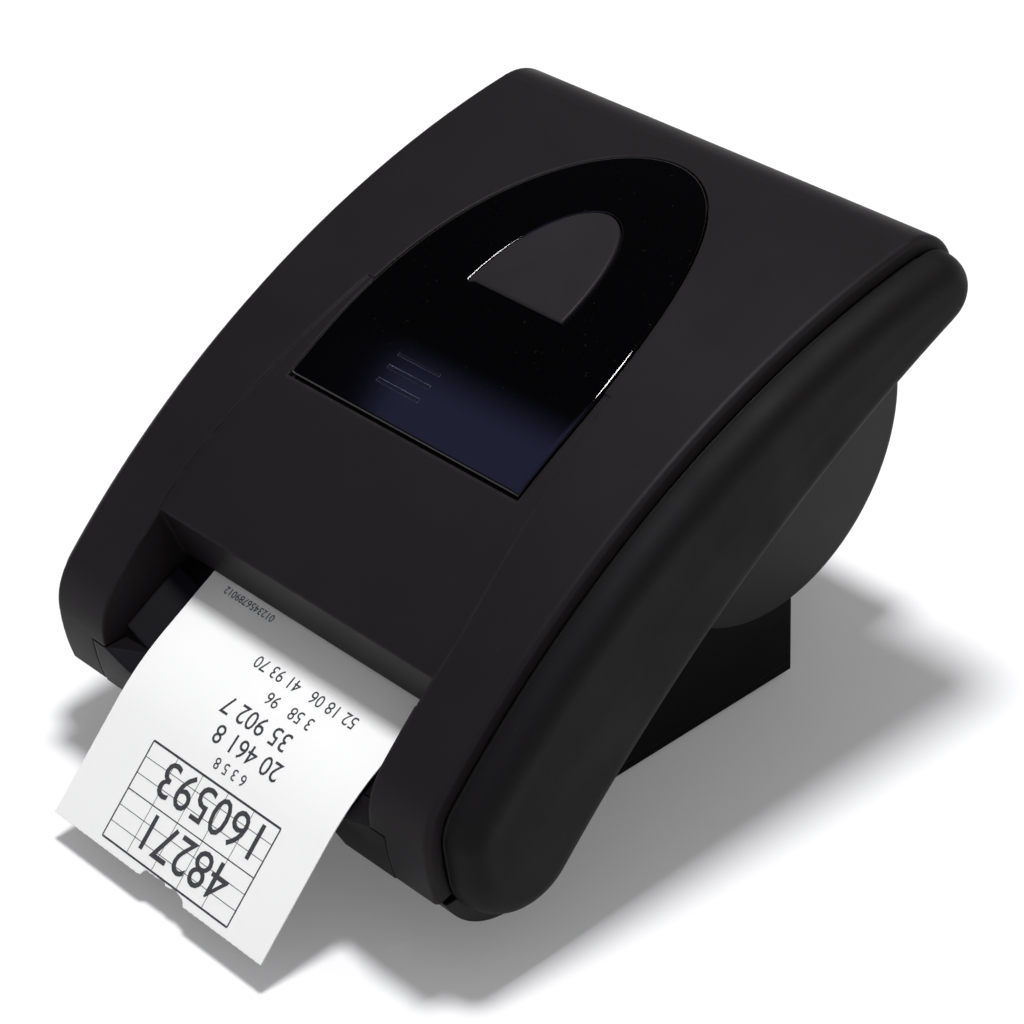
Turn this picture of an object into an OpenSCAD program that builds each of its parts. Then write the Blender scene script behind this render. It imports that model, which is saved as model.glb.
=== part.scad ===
// Ticket printer on a foot block: arched lid between two soft side grips.
// Body frame: X to the right, Y to the back from the front lower edge, Z up from the underside.
// place() then puts the origin on the table, in the middle of the outer box.

/* [Lid] */
// Width of the lid
lid_w = 101; // [96:1:108]
// Depth of the lid from its nose to its rear face
lid_d = 126.2; // [125:0.2:127.4]
// Radius of the lid's arched top
arch_r = 192; // [185:1:200]
// Radius of the rounded nose
nose_r = 13; // [12:0.5:14]
// Height of the nose's centre above the underside
nose_h = 12; // [11:0.5:13]
// How far the nose stands out in front of the lower edge
nose_out = 2.1; // [1.5:0.1:2.5]
// Slope of the top where it meets the nose, in degrees
front_slope = 46; // [44:0.5:47]
// Radius of the chin under the nose
chin_r = 42; // [38:1:60]
// Height above the hinge at which the rounded rear edge ends at the sides, in degrees
wrap_a = 15; // [12:1:40]
// Depth below the hinge to which the rear wall reaches in the middle, in degrees
skirt_a = 45; // [30:1:50]
// Thickness of the lid's wall
lid_t = 2.4; // [2:0.1:2.6]
// Height of the lid's side band above the grips
band_h = 3.2; // [2.8:0.1:3.6]
// Thickness of the lid's side band
band_t = 2; // [1.6:0.1:2.2]
// Rounding of the lid's long edges
edge_r = 1; // [0.6:0.1:1.4]
// Depth of the shallow field between the two creases
field_d = 0.25; // [0.1:0.05:0.4]

/* [Ticket mouth] */
// Width of the mouth between the two front arms
mouth_w = 72.8; // [70:0.2:73]
// Distance from the nose back to the mouth's top edge
mouth_d = 15.3; // [14:0.1:16]
// Lean of the mouth's rear wall, in degrees
mouth_lean = 20.5; // [16:0.5:24]
// Thickness of the mouth's walls
mouth_t = 2; // [1.6:0.1:2.2]
// Width of the base's tongue between the arms
tongue_w = 79.6; // [78:0.2:81]
// Height of the tongue's front face at its ends
tongue_h = 9.7; // [8:0.1:10]
// Depth of the tongue's ends
tongue_d = 5; // [4:0.5:6]
// Radius of the dished tray under the ticket
dish_r = 118; // [105:1:140]
// Height of the tray's middle at the front
dish_h = 4.5; // [4:0.1:5]
// Slope of the tray, in degrees
tray_slope = 29; // [26:0.5:30]
// Distance from the front edge back to the tray's rear end
tray_d = 20; // [18:0.5:20.5]
// Thickness of the tray
tray_t = 2.8; // [2:0.1:3]
// Width of the thumb notch under the tongue
notch_w = 54; // [40:1:60]
// Height of the thumb notch
notch_h = 2.6; // [1.5:0.1:3.2]
// Depth of the thumb notch
notch_d = 3.5; // [2:0.5:4]

/* [Control panel] */
// Width of the glossy panel
panel_w = 59; // [54:0.5:60]
// Distance from the front edge back to the panel's front side
panel_y = 39.6; // [38:0.2:42]
// Length of the panel's straight part
panel_straight = 10.4; // [8:0.2:13]
// Length of the panel's rounded part
panel_round = 57.4; // [54:0.2:60]
// Thickness of the panel
panel_t = 1.8; // [1.5:0.1:2]
// How far the panel stands above the lid
panel_up = 0.2; // [0.1:0.05:0.4]
// Width of the feed button
button_w = 23.4; // [20:0.2:26]
// Length of the feed button along the slope
button_len = 24.4; // [20:0.2:26]
// Distance from the front edge back to the button's front side
button_y = 67.2; // [64:0.2:70]
// Travel of the feed button
button_travel = 1; // [0.8:0.1:1.2]
// Radius of the button's stem
stem_r = 2; // [1.5:0.1:2.4]
// Length of a light bar
bar_len = 11; // [8:0.5:13]
// Width of a light bar
bar_w = 0.8; // [0.6:0.1:1.2]
// Distance between the light bars
bar_step = 2.6; // [2:0.1:3]
// Number of light bars
bar_count = 3; // [1:1:4]
// Offset of the light bars to the left of the middle
bar_x = 6.5; // [4:0.5:8]
// Distance from the panel's front side to the first light bar
bar_inset = 5; // [4:0.2:7]

/* [Grips] */
// How far a grip stands out past the lid
grip_out = 6.5; // [5:0.1:7]
// How far a grip's outer face is drawn in all round
grip_draw = 3.8; // [3:0.1:4.4]
// Radius of the grip's front lobe
lobe_r = 12.8; // [12:0.1:12.9]
// Height of the lobe's centre above the underside
lobe_h = 5.7; // [5.5:0.1:6.5]
// Distance from the front edge back to the lobe's centre
lobe_y = 14.9; // [14.8:0.1:15.4]
// Radius of the grip's rear end
tail_r = 7; // [6.4:0.1:7.2]
// Distance from the hinge back to the centre of the grip's rear end
tail_back = 2.8; // [2:0.1:3.2]
// Radius of the grip's lower edge
under_r = 290; // [270:1:320]
// Height of the hard rim under the lobe
rim_h = 2.3; // [1.5:0.1:2.6]
// Thickness of the side frames behind the grips
frame_t = 3.7; // [3.4:0.1:4]

/* [Hinge] */
// Radius of the hinge pins
pin_r = 1.5; // [1.2:0.1:1.8]
// Radius of the lid's hinge ears
ear_r = 4.8; // [4:0.1:5]
// Length of a hinge ear
ear_w = 5.4; // [5:0.1:5.6]

/* [Paper] */
// Width of the ticket paper
paper_w = 58; // [56:0.5:58]
// Thickness of the paper as modelled
paper_t = 0.2; // [0.15:0.01:0.25]
// Outer radius of the paper roll
roll_r = 26; // [20:0.5:28]
// Outer radius of the roll's core
core_r = 8; // [7:0.5:9]
// Wall of the roll's core
core_t = 1.6; // [1.2:0.1:2]
// Length of the straight part of the ticket before its bend
ticket_flat = 23.5; // [22:0.5:25]
// Radius of the ticket's bend
ticket_bend_r = 53; // [45:1:65]
// Angle through which the ticket bends down, in degrees
ticket_bend = 16.2; // [12:0.2:17]
// Length of the ticket after its bend
ticket_end = 22.5; // [15:0.5:23]

/* [Printing mechanism] */
// Distance from the front edge back to the print line
nip_y = 26.5; // [26:0.1:27]
// Height of the print line above the underside
nip_z = 24.4; // [24:0.1:24.8]
// Slope of the paper at the print line, in degrees
paper_slope = 29.4; // [28:0.2:30.5]
// Radius of the rubber platen roller
platen_r = 5; // [4.4:0.1:5.2]
// Overhang of the rubber roller past the paper on each side
platen_over = 0.5; // [0.3:0.1:0.7]
// Radius of the platen's shaft
shaft_r = 2; // [1.6:0.1:2.2]
// Room between the paper and each steel side plate
chassis_play = 3.9; // [3.7:0.1:4.1]
// Thickness of the steel side plates
chassis_t = 1.2; // [1:0.1:1.3]
// Outer radius of the platen's bushings
bush_r = 3; // [2.8:0.1:3.4]
// Module of the gear teeth
tooth_m = 0.5; // [0.48:0.01:0.5]
// Teeth on the platen's gear
platen_teeth = 24; // [22:1:24]
// Teeth on the idler gear
idler_teeth = 28; // [26:1:28]
// Teeth on the motor's pinion
pinion_teeth = 12; // [12:1:14]
// Width of the gears
gear_w = 2.2; // [1.8:0.1:2.4]
// Direction from the platen to the idler, in degrees
idler_dir = -30; // [-34:1:-26]
// Direction from the idler to the motor, in degrees
motor_dir = 0; // [-3:1:4]
// Radius of the motor
motor_r = 9; // [7:0.5:9.5]
// Length of the motor
motor_len = 20; // [16:1:22]
// Thickness of the print head
head_t = 0.8; // [0.6:0.1:1]
// Thickness of the print head's heat sink
sink_t = 3; // [2.5:0.1:3.2]
// Overhang of the heat sink past the paper on each side
sink_over = 2; // [1:0.1:2.4]
// Depth of the lid frame's rails
rail_d = 8; // [7:0.5:8.5]
// Thickness of the lid frame's rails
rail_t = 2; // [1.6:0.1:2.4]
// Distance between the lid frame's rails
rail_gap = 80; // [79.6:0.1:80.4]

/* [Roll housing] */
// Inner radius of the roll housing
bucket_r = 31.4; // [30.5:0.1:31.6]
// Wall of the roll housing
bucket_t = 2; // [1.6:0.1:2.2]
// Play of the roll in its housing on each side
roll_play = 1; // [0.8:0.1:1.2]
// Distance from the front edge back to the housing's centre
bucket_y = 98.4; // [97.6:0.1:98.8]

/* [Foot] */
// Height of the underside above the table
foot_h = 18; // [16:0.5:22]
// Width of the foot block
foot_w = 62; // [60:0.5:63]
// Distance from the front edge back to the foot block's front
foot_y = 50; // [46:0.5:52]
// Depth of the foot block
foot_d = 54.4; // [52:0.2:56]
// Wall of the foot block
foot_t = 2; // [1.8:0.1:2.4]
// Thickness of the plate under the body
plate_t = 1.2; // [1:0.1:1.4]
// Height of the rubber pads
pad_h = 1.2; // [1:0.1:1.6]
// Radius of the rubber pads
pad_r = 4.5; // [3.5:0.1:5]
// Thickness of the circuit boards
board_t = 1.6; // [1.2:0.1:1.8]

/* [Fits] */
// Visible gap between the lid and the body
gap = 0.4; // [0.3:0.05:0.5]
// Clearance round small parts that move
clear = 0.3; // [0.25:0.05:0.35]
// Running clearance of shafts and pins
running = 0.05; // [0.02:0.01:0.08]

/* [Hidden] */
$fn = 96;

// Points along an arc in the side view
function arc(c, r, a0, a1, n = 12) = [
    for (i = [0:n]) c + r * [cos(a0 + (a1 - a0) * i / n), sin(a0 + (a1 - a0) * i / n)]
];
// Meeting point of two circles, on the right of the line from a to b
function meet(a, ra, b, rb) =
    let (d = b - a, l = norm(d), x = (l * l + ra * ra - rb * rb) / (2 * l), h = sqrt(ra * ra - x * x))
    a + x * d / l + h * [d[1], -d[0]] / l;
function dir(a) = [cos(a), sin(a)];
function angle_of(v) = atan2(v[1], v[0]);

// Side view of the lid: arch, nose, chin and rear edge are tangent arcs
lid_hw = lid_w / 2;
nose_c = [nose_r - nose_out, nose_h];
nose_a = 90 + front_slope;
arch_c = nose_c - (arch_r - nose_r) * dir(nose_a);
chin_c = [chin_r - nose_out, nose_h];
chin_a = 180 + asin((nose_h - gap) / chin_r);
seam = band_h + gap;
rear_r = tail_r + seam;
rear_y = lid_d - nose_out;
tail_y = rear_y - rear_r;
rear_a = acos((tail_y - arch_c[0]) / (arch_r - rear_r));
tail_c = arch_c + (arch_r - rear_r) * dir(rear_a);
arch_fn = 360;

// Mouth of the lid, and the paper's line through the nip
mouth_hw = mouth_w / 2;
mouth_y = mouth_d - nose_out;
mouth_top = [mouth_y, arch_c[1] + sqrt(pow(arch_r, 2) - pow(mouth_y - arch_c[0], 2))];
wall_dir = [sin(mouth_lean), -cos(mouth_lean)];
wall_back = [cos(mouth_lean), sin(mouth_lean)];
nip = [nip_y, nip_z];
along = dir(paper_slope);
above = [-sin(paper_slope), cos(paper_slope)];
// Distance down the mouth's wall to the paper's line
wall_len = ((nip - mouth_top) * above) / (wall_dir * above);
tear_t = 0.8;
function paper_z(y) = nip_z - (nip_y - y) * tan(paper_slope);
tear_gap = paper_t / 2 + clear;
wall_short = (tear_gap + (mouth_t + tear_t) * sin(paper_slope - mouth_lean) + gap) / (-(wall_dir * above));

// Grips and side frames: one outline of tangent arcs
frame_hw = lid_hw + clear;
frame_in = frame_hw - frame_t;
lobe_c = [lobe_y, lobe_h];
// The soft grip's rear end lies further back on the same arch
grip_tail_c = arch_c + [tail_y + tail_back - arch_c[0],
    sqrt(pow(arch_r - rear_r, 2) - pow(tail_y + tail_back - arch_c[0], 2))];
function under_from_tail(c) = meet(lobe_c, under_r + lobe_r, c, under_r + tail_r);
under_c = under_from_tail(tail_c);
front_d = nose_c - lobe_c;
front_a = angle_of(front_d) + acos((lobe_r - nose_r + seam) / norm(front_d));
// Path of the tongue's rear upper corner as seen from the opening lid
swing_r = norm([tongue_d - nose_out + gap, tongue_h + clear] - tail_c);
function swing_y(z) = tail_c[0] - sqrt(pow(swing_r, 2) - pow(tail_c[1] - z, 2));
function grip_line(d, tail = tail_c) = let (
    under = under_from_tail(tail),
    top_to = angle_of(tail - arch_c)
) concat(
    arc(arch_c, arch_r - seam - d, top_to, nose_a, 24),
    arc(nose_c, nose_r - seam - d, nose_a + 4, front_a, 8),
    arc(lobe_c, lobe_r - d, front_a + 4, angle_of(under - lobe_c) + 360, 14),
    arc(under, under_r + d, angle_of(lobe_c - under) - 0.8, angle_of(tail - under) + 0.8, 20),
    arc(tail, tail_r - d, angle_of(under - tail), top_to - 8, 10)
);

// Roll housing and roll
bucket_ro = bucket_r + bucket_t;
bucket_w = paper_w + 2 * roll_play;
bucket_c = [bucket_y, bucket_ro];
bucket_hw = bucket_w / 2;
roll_c = [bucket_y, bucket_t + roll_r + clear];
web_d = roll_c - nip;
web_r = roll_r + clear + paper_t / 2;
web_a = angle_of(web_d) + asin(web_r / norm(web_d));
web_end = nip + sqrt(pow(norm(web_d), 2) - pow(web_r, 2)) * dir(web_a);

// Gear train: centres, and phases that put the teeth in mesh at rest
platen_c = nip - (paper_t / 2 + clear + platen_r) * above;
idler_c = platen_c + tooth_m * (platen_teeth + idler_teeth) / 2 * dir(idler_dir);
pinion_c = idler_c + tooth_m * (idler_teeth + pinion_teeth) / 2 * dir(motor_dir);
idler_phase = idler_dir + 180 + 180 / idler_teeth;
mesh_off = motor_dir - idler_phase - 360 / idler_teeth * round((motor_dir - idler_phase) * idler_teeth / 360);
pinion_phase = motor_dir + 180 + mesh_off * idler_teeth / pinion_teeth + 180 / pinion_teeth;
chassis_w = paper_w + 2 * chassis_play;
chassis_hw = chassis_w / 2;
platen_len = paper_w + 2 * platen_over;
sink_w = paper_w + 2 * sink_over;
gear_x = chassis_hw - clear - gear_w;
axle_r = 1;
motor_face = 24;
chassis_z = plate_t;

// Base shell: trough for the mechanism, narrower behind it
trough_in = chassis_hw + chassis_t + 1.2;
trough_out = trough_in + 1.8;
trough_end = 57;
neck_out = bucket_hw + bucket_t;
neck_end = 68;
deck_lift = 1;
deck_t = 2;
deck_end = 107;

// Button and its board, square to the arch at the button's middle
button_run = button_len * cos(19);
button_a = acos((button_y + button_run / 2 - arch_c[0]) / arch_r);
board_depth = 12;
flange_out = 1;
flange_t = 1.2;
flange_top = -lid_t - pow(button_len / 2, 2) / (2 * arch_r) - clear;
cap_end = flange_top - flange_t;
arm_top = cap_end - button_travel - clear;
arm_y = button_len / 2 + flange_out + 3.8;

// Foot block
foot_hw = foot_w / 2;
foot_top = 4.6;
foot_end = foot_y + foot_d;
ground = -foot_h;
cover_t = 1.6;
cover_z = ground + pad_h;
screw_in = 6.5;
screw_r = 1.4;
port_z = ground + 8.6;
inlet_x = -16;
data_x = 0;
switch_x = 19;
switch_w = 13;
switch_h = 9.6;
rocker_r = 3.8;
rocker_c = [foot_end - 1, port_z];
board_top = port_z - 3.8;
boss_r = 3.2;

// Middle of the outer box: from the ticket's end to the roll housing's rear
ticket_out = ticket_flat * cos(paper_slope)
    + ticket_bend_r * (sin(paper_slope + ticket_bend) - sin(paper_slope))
    + ticket_end * cos(paper_slope + ticket_bend)
    + paper_t / 2 * sin(paper_slope + ticket_bend);
y_front = nip_y - ticket_out;
y_mid = (y_front + bucket_y + bucket_ro) / 2;

module place() {
    translate([0, -y_mid, foot_h]) children();
}

// Plate across X whose outline is drawn in the side view (Y, Z)
module plate_x(x0, x1) {
    translate([x0, 0, 0]) rotate([90, 0, 90]) linear_extrude(x1 - x0) children();
}

// Both copies of something built on the right-hand side
module both_sides() {
    children();
    mirror([1, 0, 0]) children();
}

// Right-hand part, mirrored when it is the left one
module handed(left) {
    mirror([left ? 1 : 0, 0, 0]) children();
}

// Sweep of a section (distance from the axis, X) about an axis along X through c
module sweep_x(c, a0, a1, fn = 96) {
    translate([0, c[0], c[1]]) rotate([90, 0, 90]) rotate([0, 0, a0])
        rotate_extrude(angle = a1 - a0, $fn = fn) children();
}

// Solid round bar along X
module bar_x(c, r, x0, x1, fn = 64) {
    translate([x0, c[0], c[1]]) rotate([0, 90, 0]) cylinder(r = r, h = x1 - x0, $fn = fn);
}

// Section of the lid's wall with rounded edges and side bands, drawn in by d at its outside
module lid_section(r0, band, d = 0) {
    r = r0 - d;
    hw = lid_hw - d;
    half = concat(
        arc([r - edge_r, hw - edge_r], edge_r, 0, 90, 7),
        band > lid_t ? [[r - band, hw], [r - band, hw - band_t], [r - lid_t, hw - band_t]] : [[r - lid_t, hw]]
    );
    n = len(half);
    polygon(concat(half, [for (k = [n - 1:-1:0]) [half[k][0], -half[k][1]]]));
}

// Region inside the lid's outer skin, set in by d
module lid_inside(d) {
    polygon(concat(
        [[rear_y - d, gap]],
        arc(arch_c, arch_r - d, rear_a, nose_a, 32),
        arc(nose_c, nose_r - d, nose_a, 180, 10),
        arc(chin_c, chin_r - d, 180, chin_a, 4)
    ));
}

// Shell that follows the arch between two depths below the lid's skin, in plan under a 2D outline
module under_outline(depth0, depth1) {
    intersection() {
        translate([0, 0, 0]) linear_extrude(200) children();
        sweep_x(arch_c, 90, 140, arch_fn)
            translate([arch_r - depth1, -lid_hw]) square([depth1 - depth0, lid_w]);
    }
}

// Outline of a half ellipse on a straight base, seen from above
function bullet(w, straight, round_len, y0, n = 40) = concat(
    [[w / 2, y0], [w / 2, y0 + straight]],
    [for (i = [1:n - 1]) [w / 2 * cos(180 * i / n), y0 + straight + round_len * sin(180 * i / n)]],
    [[-w / 2, y0 + straight], [-w / 2, y0]]
);

module panel_outline(d) {
    polygon(bullet(panel_w + 2 * d, panel_straight + d, panel_round + d, panel_y - d));
}

// Puts the XY plane on the arch at the button's middle, Z pointing out
module on_button() {
    p = arch_c + arch_r * dir(button_a);
    translate([0, p[0], p[1]]) rotate([button_a - 90, 0, 0]) children();
}

module button_prism(d, z0, z1) {
    on_button() translate([0, 0, z0]) linear_extrude(z1 - z0)
        polygon(bullet(button_w + 2 * d, d, button_len + d, -button_len / 2 - d));
}

// Places of the light bars across the panel
module light_bar_slots(d) {
    for (i = [0:bar_count - 1])
        translate([-bar_x - bar_len / 2 - d, panel_y + bar_inset + i * bar_step - d])
            square([bar_len + 2 * d, bar_w + 2 * d]);
}

// Slab of the mouth's rear wall between two distances behind its face
module mouth_slab(b0, b1, top, short) {
    polygon([
        mouth_top - top * wall_dir + b0 * wall_back,
        mouth_top + (wall_len - short) * wall_dir + b0 * wall_back,
        mouth_top + (wall_len - short) * wall_dir + b1 * wall_back,
        mouth_top - top * wall_dir + b1 * wall_back
    ]);
}

// Lid

module lid_shell() {
    front = mouth_top - 8 * wall_dir;
    low = mouth_top + (wall_len + 30) * wall_dir;
    color("#262226") place() difference() {
        union() {
            difference() {
                union() {
                    sweep_x(arch_c, rear_a, nose_a, arch_fn) lid_section(arch_r, band_h);
                    sweep_x(nose_c, nose_a - 1, 181) lid_section(nose_r, band_h, 0.01);
                    sweep_x(chin_c, 180, chin_a, 180) lid_section(chin_r, band_h, 0.02);
                    sweep_x(tail_c, wrap_a, rear_a + 1) lid_section(rear_r, band_h, 0.02);
                }
                plate_x(-mouth_hw, mouth_hw) polygon([[-9, -9], low, front, [-9, front[1]]]);
            }
            // Rear wall that reaches down round the hinge between the housing's discs
            sweep_x(tail_c, -skirt_a, wrap_a + 1) translate([rear_r - lid_t, clear - bucket_hw])
                square([lid_t - 0.04, bucket_w - 2 * clear]);
            // Walls of the mouth
            both_sides() plate_x(mouth_hw, mouth_hw + mouth_t) intersection() {
                lid_inside(lid_t / 2);
                polygon([[-9, plate_t + gap], low + mouth_t * wall_back, front + mouth_t * wall_back,
                    [-9, front[1]]]);
                translate([-9, plate_t + gap]) square([tray_d + 8, 60]);
            }
            plate_x(-mouth_hw - mouth_t, mouth_hw + mouth_t) intersection() {
                lid_inside(lid_t / 2);
                mouth_slab(0, mouth_t, 6, wall_short);
            }
        }
        // Notches for the tongue's ends
        both_sides() plate_x(mouth_hw - 0.1, tongue_w / 2 + clear) polygon(concat(
            [[-9, tongue_h + clear], [-9, -1]],
            [for (z = [-1, (tongue_h + clear) / 2 - 0.5, tongue_h + clear]) [swing_y(z), z]]
        ));
        // Field between the creases, pocket for the panel, openings for button and light bars
        under_outline(-2, field_d) polygon(concat(
            [[mouth_hw + 0.3, mouth_y - 4], [mouth_hw + 0.4, mouth_y + 6]],
            [[panel_w / 2 + 1.6, panel_y + panel_straight + 10], [-panel_w / 2 - 1.6, panel_y + panel_straight + 10]],
            [[-mouth_hw - 0.4, mouth_y + 6], [-mouth_hw - 0.3, mouth_y - 4]]
        ));
        under_outline(-2, panel_t - panel_up) panel_outline(gap);
        under_outline(0, 6) light_bar_slots(gap);
        button_prism(clear, -8, 6);
    }
}

module lid_frame() {
    rail_x = rail_gap / 2;
    rail_from = 98.6;
    rail_to = 128.5;
    carrier = paper_t / 2 + clear + head_t + sink_t + 3.8;
    color("#3a3a3c") place() difference() {
        union() {
            both_sides() sweep_x(arch_c, rail_from, rail_to, arch_fn)
                translate([arch_r - lid_t - rail_d, rail_x]) square([rail_d, rail_t]);
            both_sides() bar_x(tail_c, ear_r, rail_x, rail_x + ear_w);
            both_sides() plate_x(rail_x, rail_x + rail_t) polygon([
                tail_c + [-1, ear_r],
                tail_c + [-ear_r, 0],
                arch_c + (arch_r - lid_t - rail_d) * dir(rail_from + 3),
                arch_c + (arch_r - lid_t - 2) * dir(rail_from + 3)
            ]);
            for (a = [103, 115]) sweep_x(arch_c, a, a + 1.2, arch_fn)
                translate([arch_r - lid_t - 3.4, -rail_x]) square([3.4, 2 * rail_x]);
            plate_x(-rail_x, rail_x) polygon([
                nip - 3 * along + carrier * above,
                nip + 8 * along + carrier * above,
                nip + 8 * along + (carrier + 1.6) * above,
                nip - 3 * along + (carrier + 1.6) * above
            ]);
            // Arms that carry the button's board
            for (s = [-1, 1]) on_button() translate([s * 12 - 1, -arm_y, board_t - board_depth])
                cube([2, 2 * arm_y - 2, arm_top + board_depth - board_t]);
            on_button() translate([-rail_x, -arm_y, arm_top - 2.6]) cube([2 * rail_x, 2, 2.6]);
        }
        both_sides() bar_x(tail_c, pin_r + running, rail_x - 1, rail_x + ear_w + 1);
    }
}

module control_panel() {
    color("#0a0b10") place() difference() {
        under_outline(-panel_up, panel_t - panel_up) panel_outline(0);
        button_prism(clear, -8, 6);
        under_outline(-2, 6) light_bar_slots(0);
    }
}

module light_bars() {
    color("#b8c0d0") place() union() {
        under_outline(-panel_up, lid_t + 0.4) light_bar_slots(-0.03);
        // Light box behind the bars
        under_outline(lid_t + 0.1, lid_t + 2.4)
            translate([-bar_x - bar_len / 2 - 1, panel_y + bar_inset - 1])
                square([bar_len + 2, (bar_count - 1) * bar_step + bar_w + 2]);
    }
}

module feed_button() {
    color("#2c2b2e") place() union() {
        intersection() {
            button_prism(0, cap_end, 3);
            sweep_x(arch_c, 90, 140, arch_fn)
                translate([arch_r - 12, -lid_hw]) square([12.5, lid_w]);
        }
        button_prism(flange_out, cap_end, flange_top);
        on_button() translate([0, 0, -board_depth + board_t + 1.4 + button_travel])
            cylinder(r = stem_r, h = board_depth - board_t - 1.4 - button_travel + cap_end + 0.1, $fn = 48);
    }
}

module button_board() {
    color("#1f6b45") place() on_button()
        translate([-15, -11, -board_depth - 0.02]) difference() {
            cube([30, 22, board_t]);
            for (x = [3, 27]) translate([x, 11, -1]) cylinder(r = 1.2, h = board_t + 2, $fn = 32);
        }
}

module dome_switch() {
    color("#d8d6d0") place() on_button() translate([0, 0, -board_depth + board_t]) union() {
        translate([-3, -3, 0]) cube([6, 6, 0.7]);
        translate([0, 0, 0.6]) cylinder(r = 1.6, h = 0.5, $fn = 48);
    }
}

module print_head() {
    low = paper_t / 2 + clear;
    color("#d9d4c4") place() plate_x(-sink_w / 2 + 1, sink_w / 2 - 1) polygon([
        nip - 3 * along + low * above,
        nip + 6 * along + low * above,
        nip + 6 * along + (low + head_t) * above,
        nip - 3 * along + (low + head_t) * above
    ]);
}

module heat_sink() {
    low = paper_t / 2 + clear + head_t;
    color("#b9bcc0") place() difference() {
        plate_x(-sink_w / 2, sink_w / 2) polygon([
            nip - 3.4 * along + low * above,
            nip + 8 * along + low * above,
            nip + 8 * along + (low + sink_t) * above,
            nip - 3.4 * along + (low + sink_t) * above
        ]);
        // Cooling grooves along the width
        for (i = [0:3]) plate_x(-sink_w / 2 + 18, sink_w / 2 - 18) polygon([
            for (k = [[0, 0.9], [1.2, 0.9], [1.2, 2], [0, 2]])
                nip + (-2 + i * 2.6 + k[0]) * along + (low + sink_t - 1.6 + k[1]) * above
        ]);
    }
}

module head_spring(left) {
    low = paper_t / 2 + clear + head_t + sink_t;
    c = nip + 2.4 * along + low * above;
    color("#a8a8a8") place() handed(left) translate([20, c[0], c[1]])
        rotate([paper_slope, 0, 0]) difference() {
            cylinder(r = 2.2, h = 3.8, $fn = 48);
            translate([0, 0, -1]) cylinder(r = 1.6, h = 6, $fn = 48);
        }
}
module head_spring_left() { head_spring(true); }
module head_spring_right() { head_spring(false); }

module tear_bar() {
    // Toothed edge: the teeth point down at the paper
    pitch = 2;
    half = sink_w / 2 - 1;
    reach = wall_short - gap;
    color("#c9cbcf") place() difference() {
        plate_x(-half, half) mouth_slab(mouth_t, mouth_t + tear_t, -4, reach);
        end = mouth_top + (wall_len - reach) * wall_dir + mouth_t * wall_back;
        for (x = [-half:pitch:half])
            translate([x, end[0], end[1]]) rotate([mouth_lean, 0, 0]) translate([0, tear_t + 1, 0])
                rotate([90, 0, 0]) linear_extrude(tear_t + 2)
                    polygon([[-0.9, -0.4], [0.9, -0.4], [0, 0.8]]);
    }
}

// Base

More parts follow.
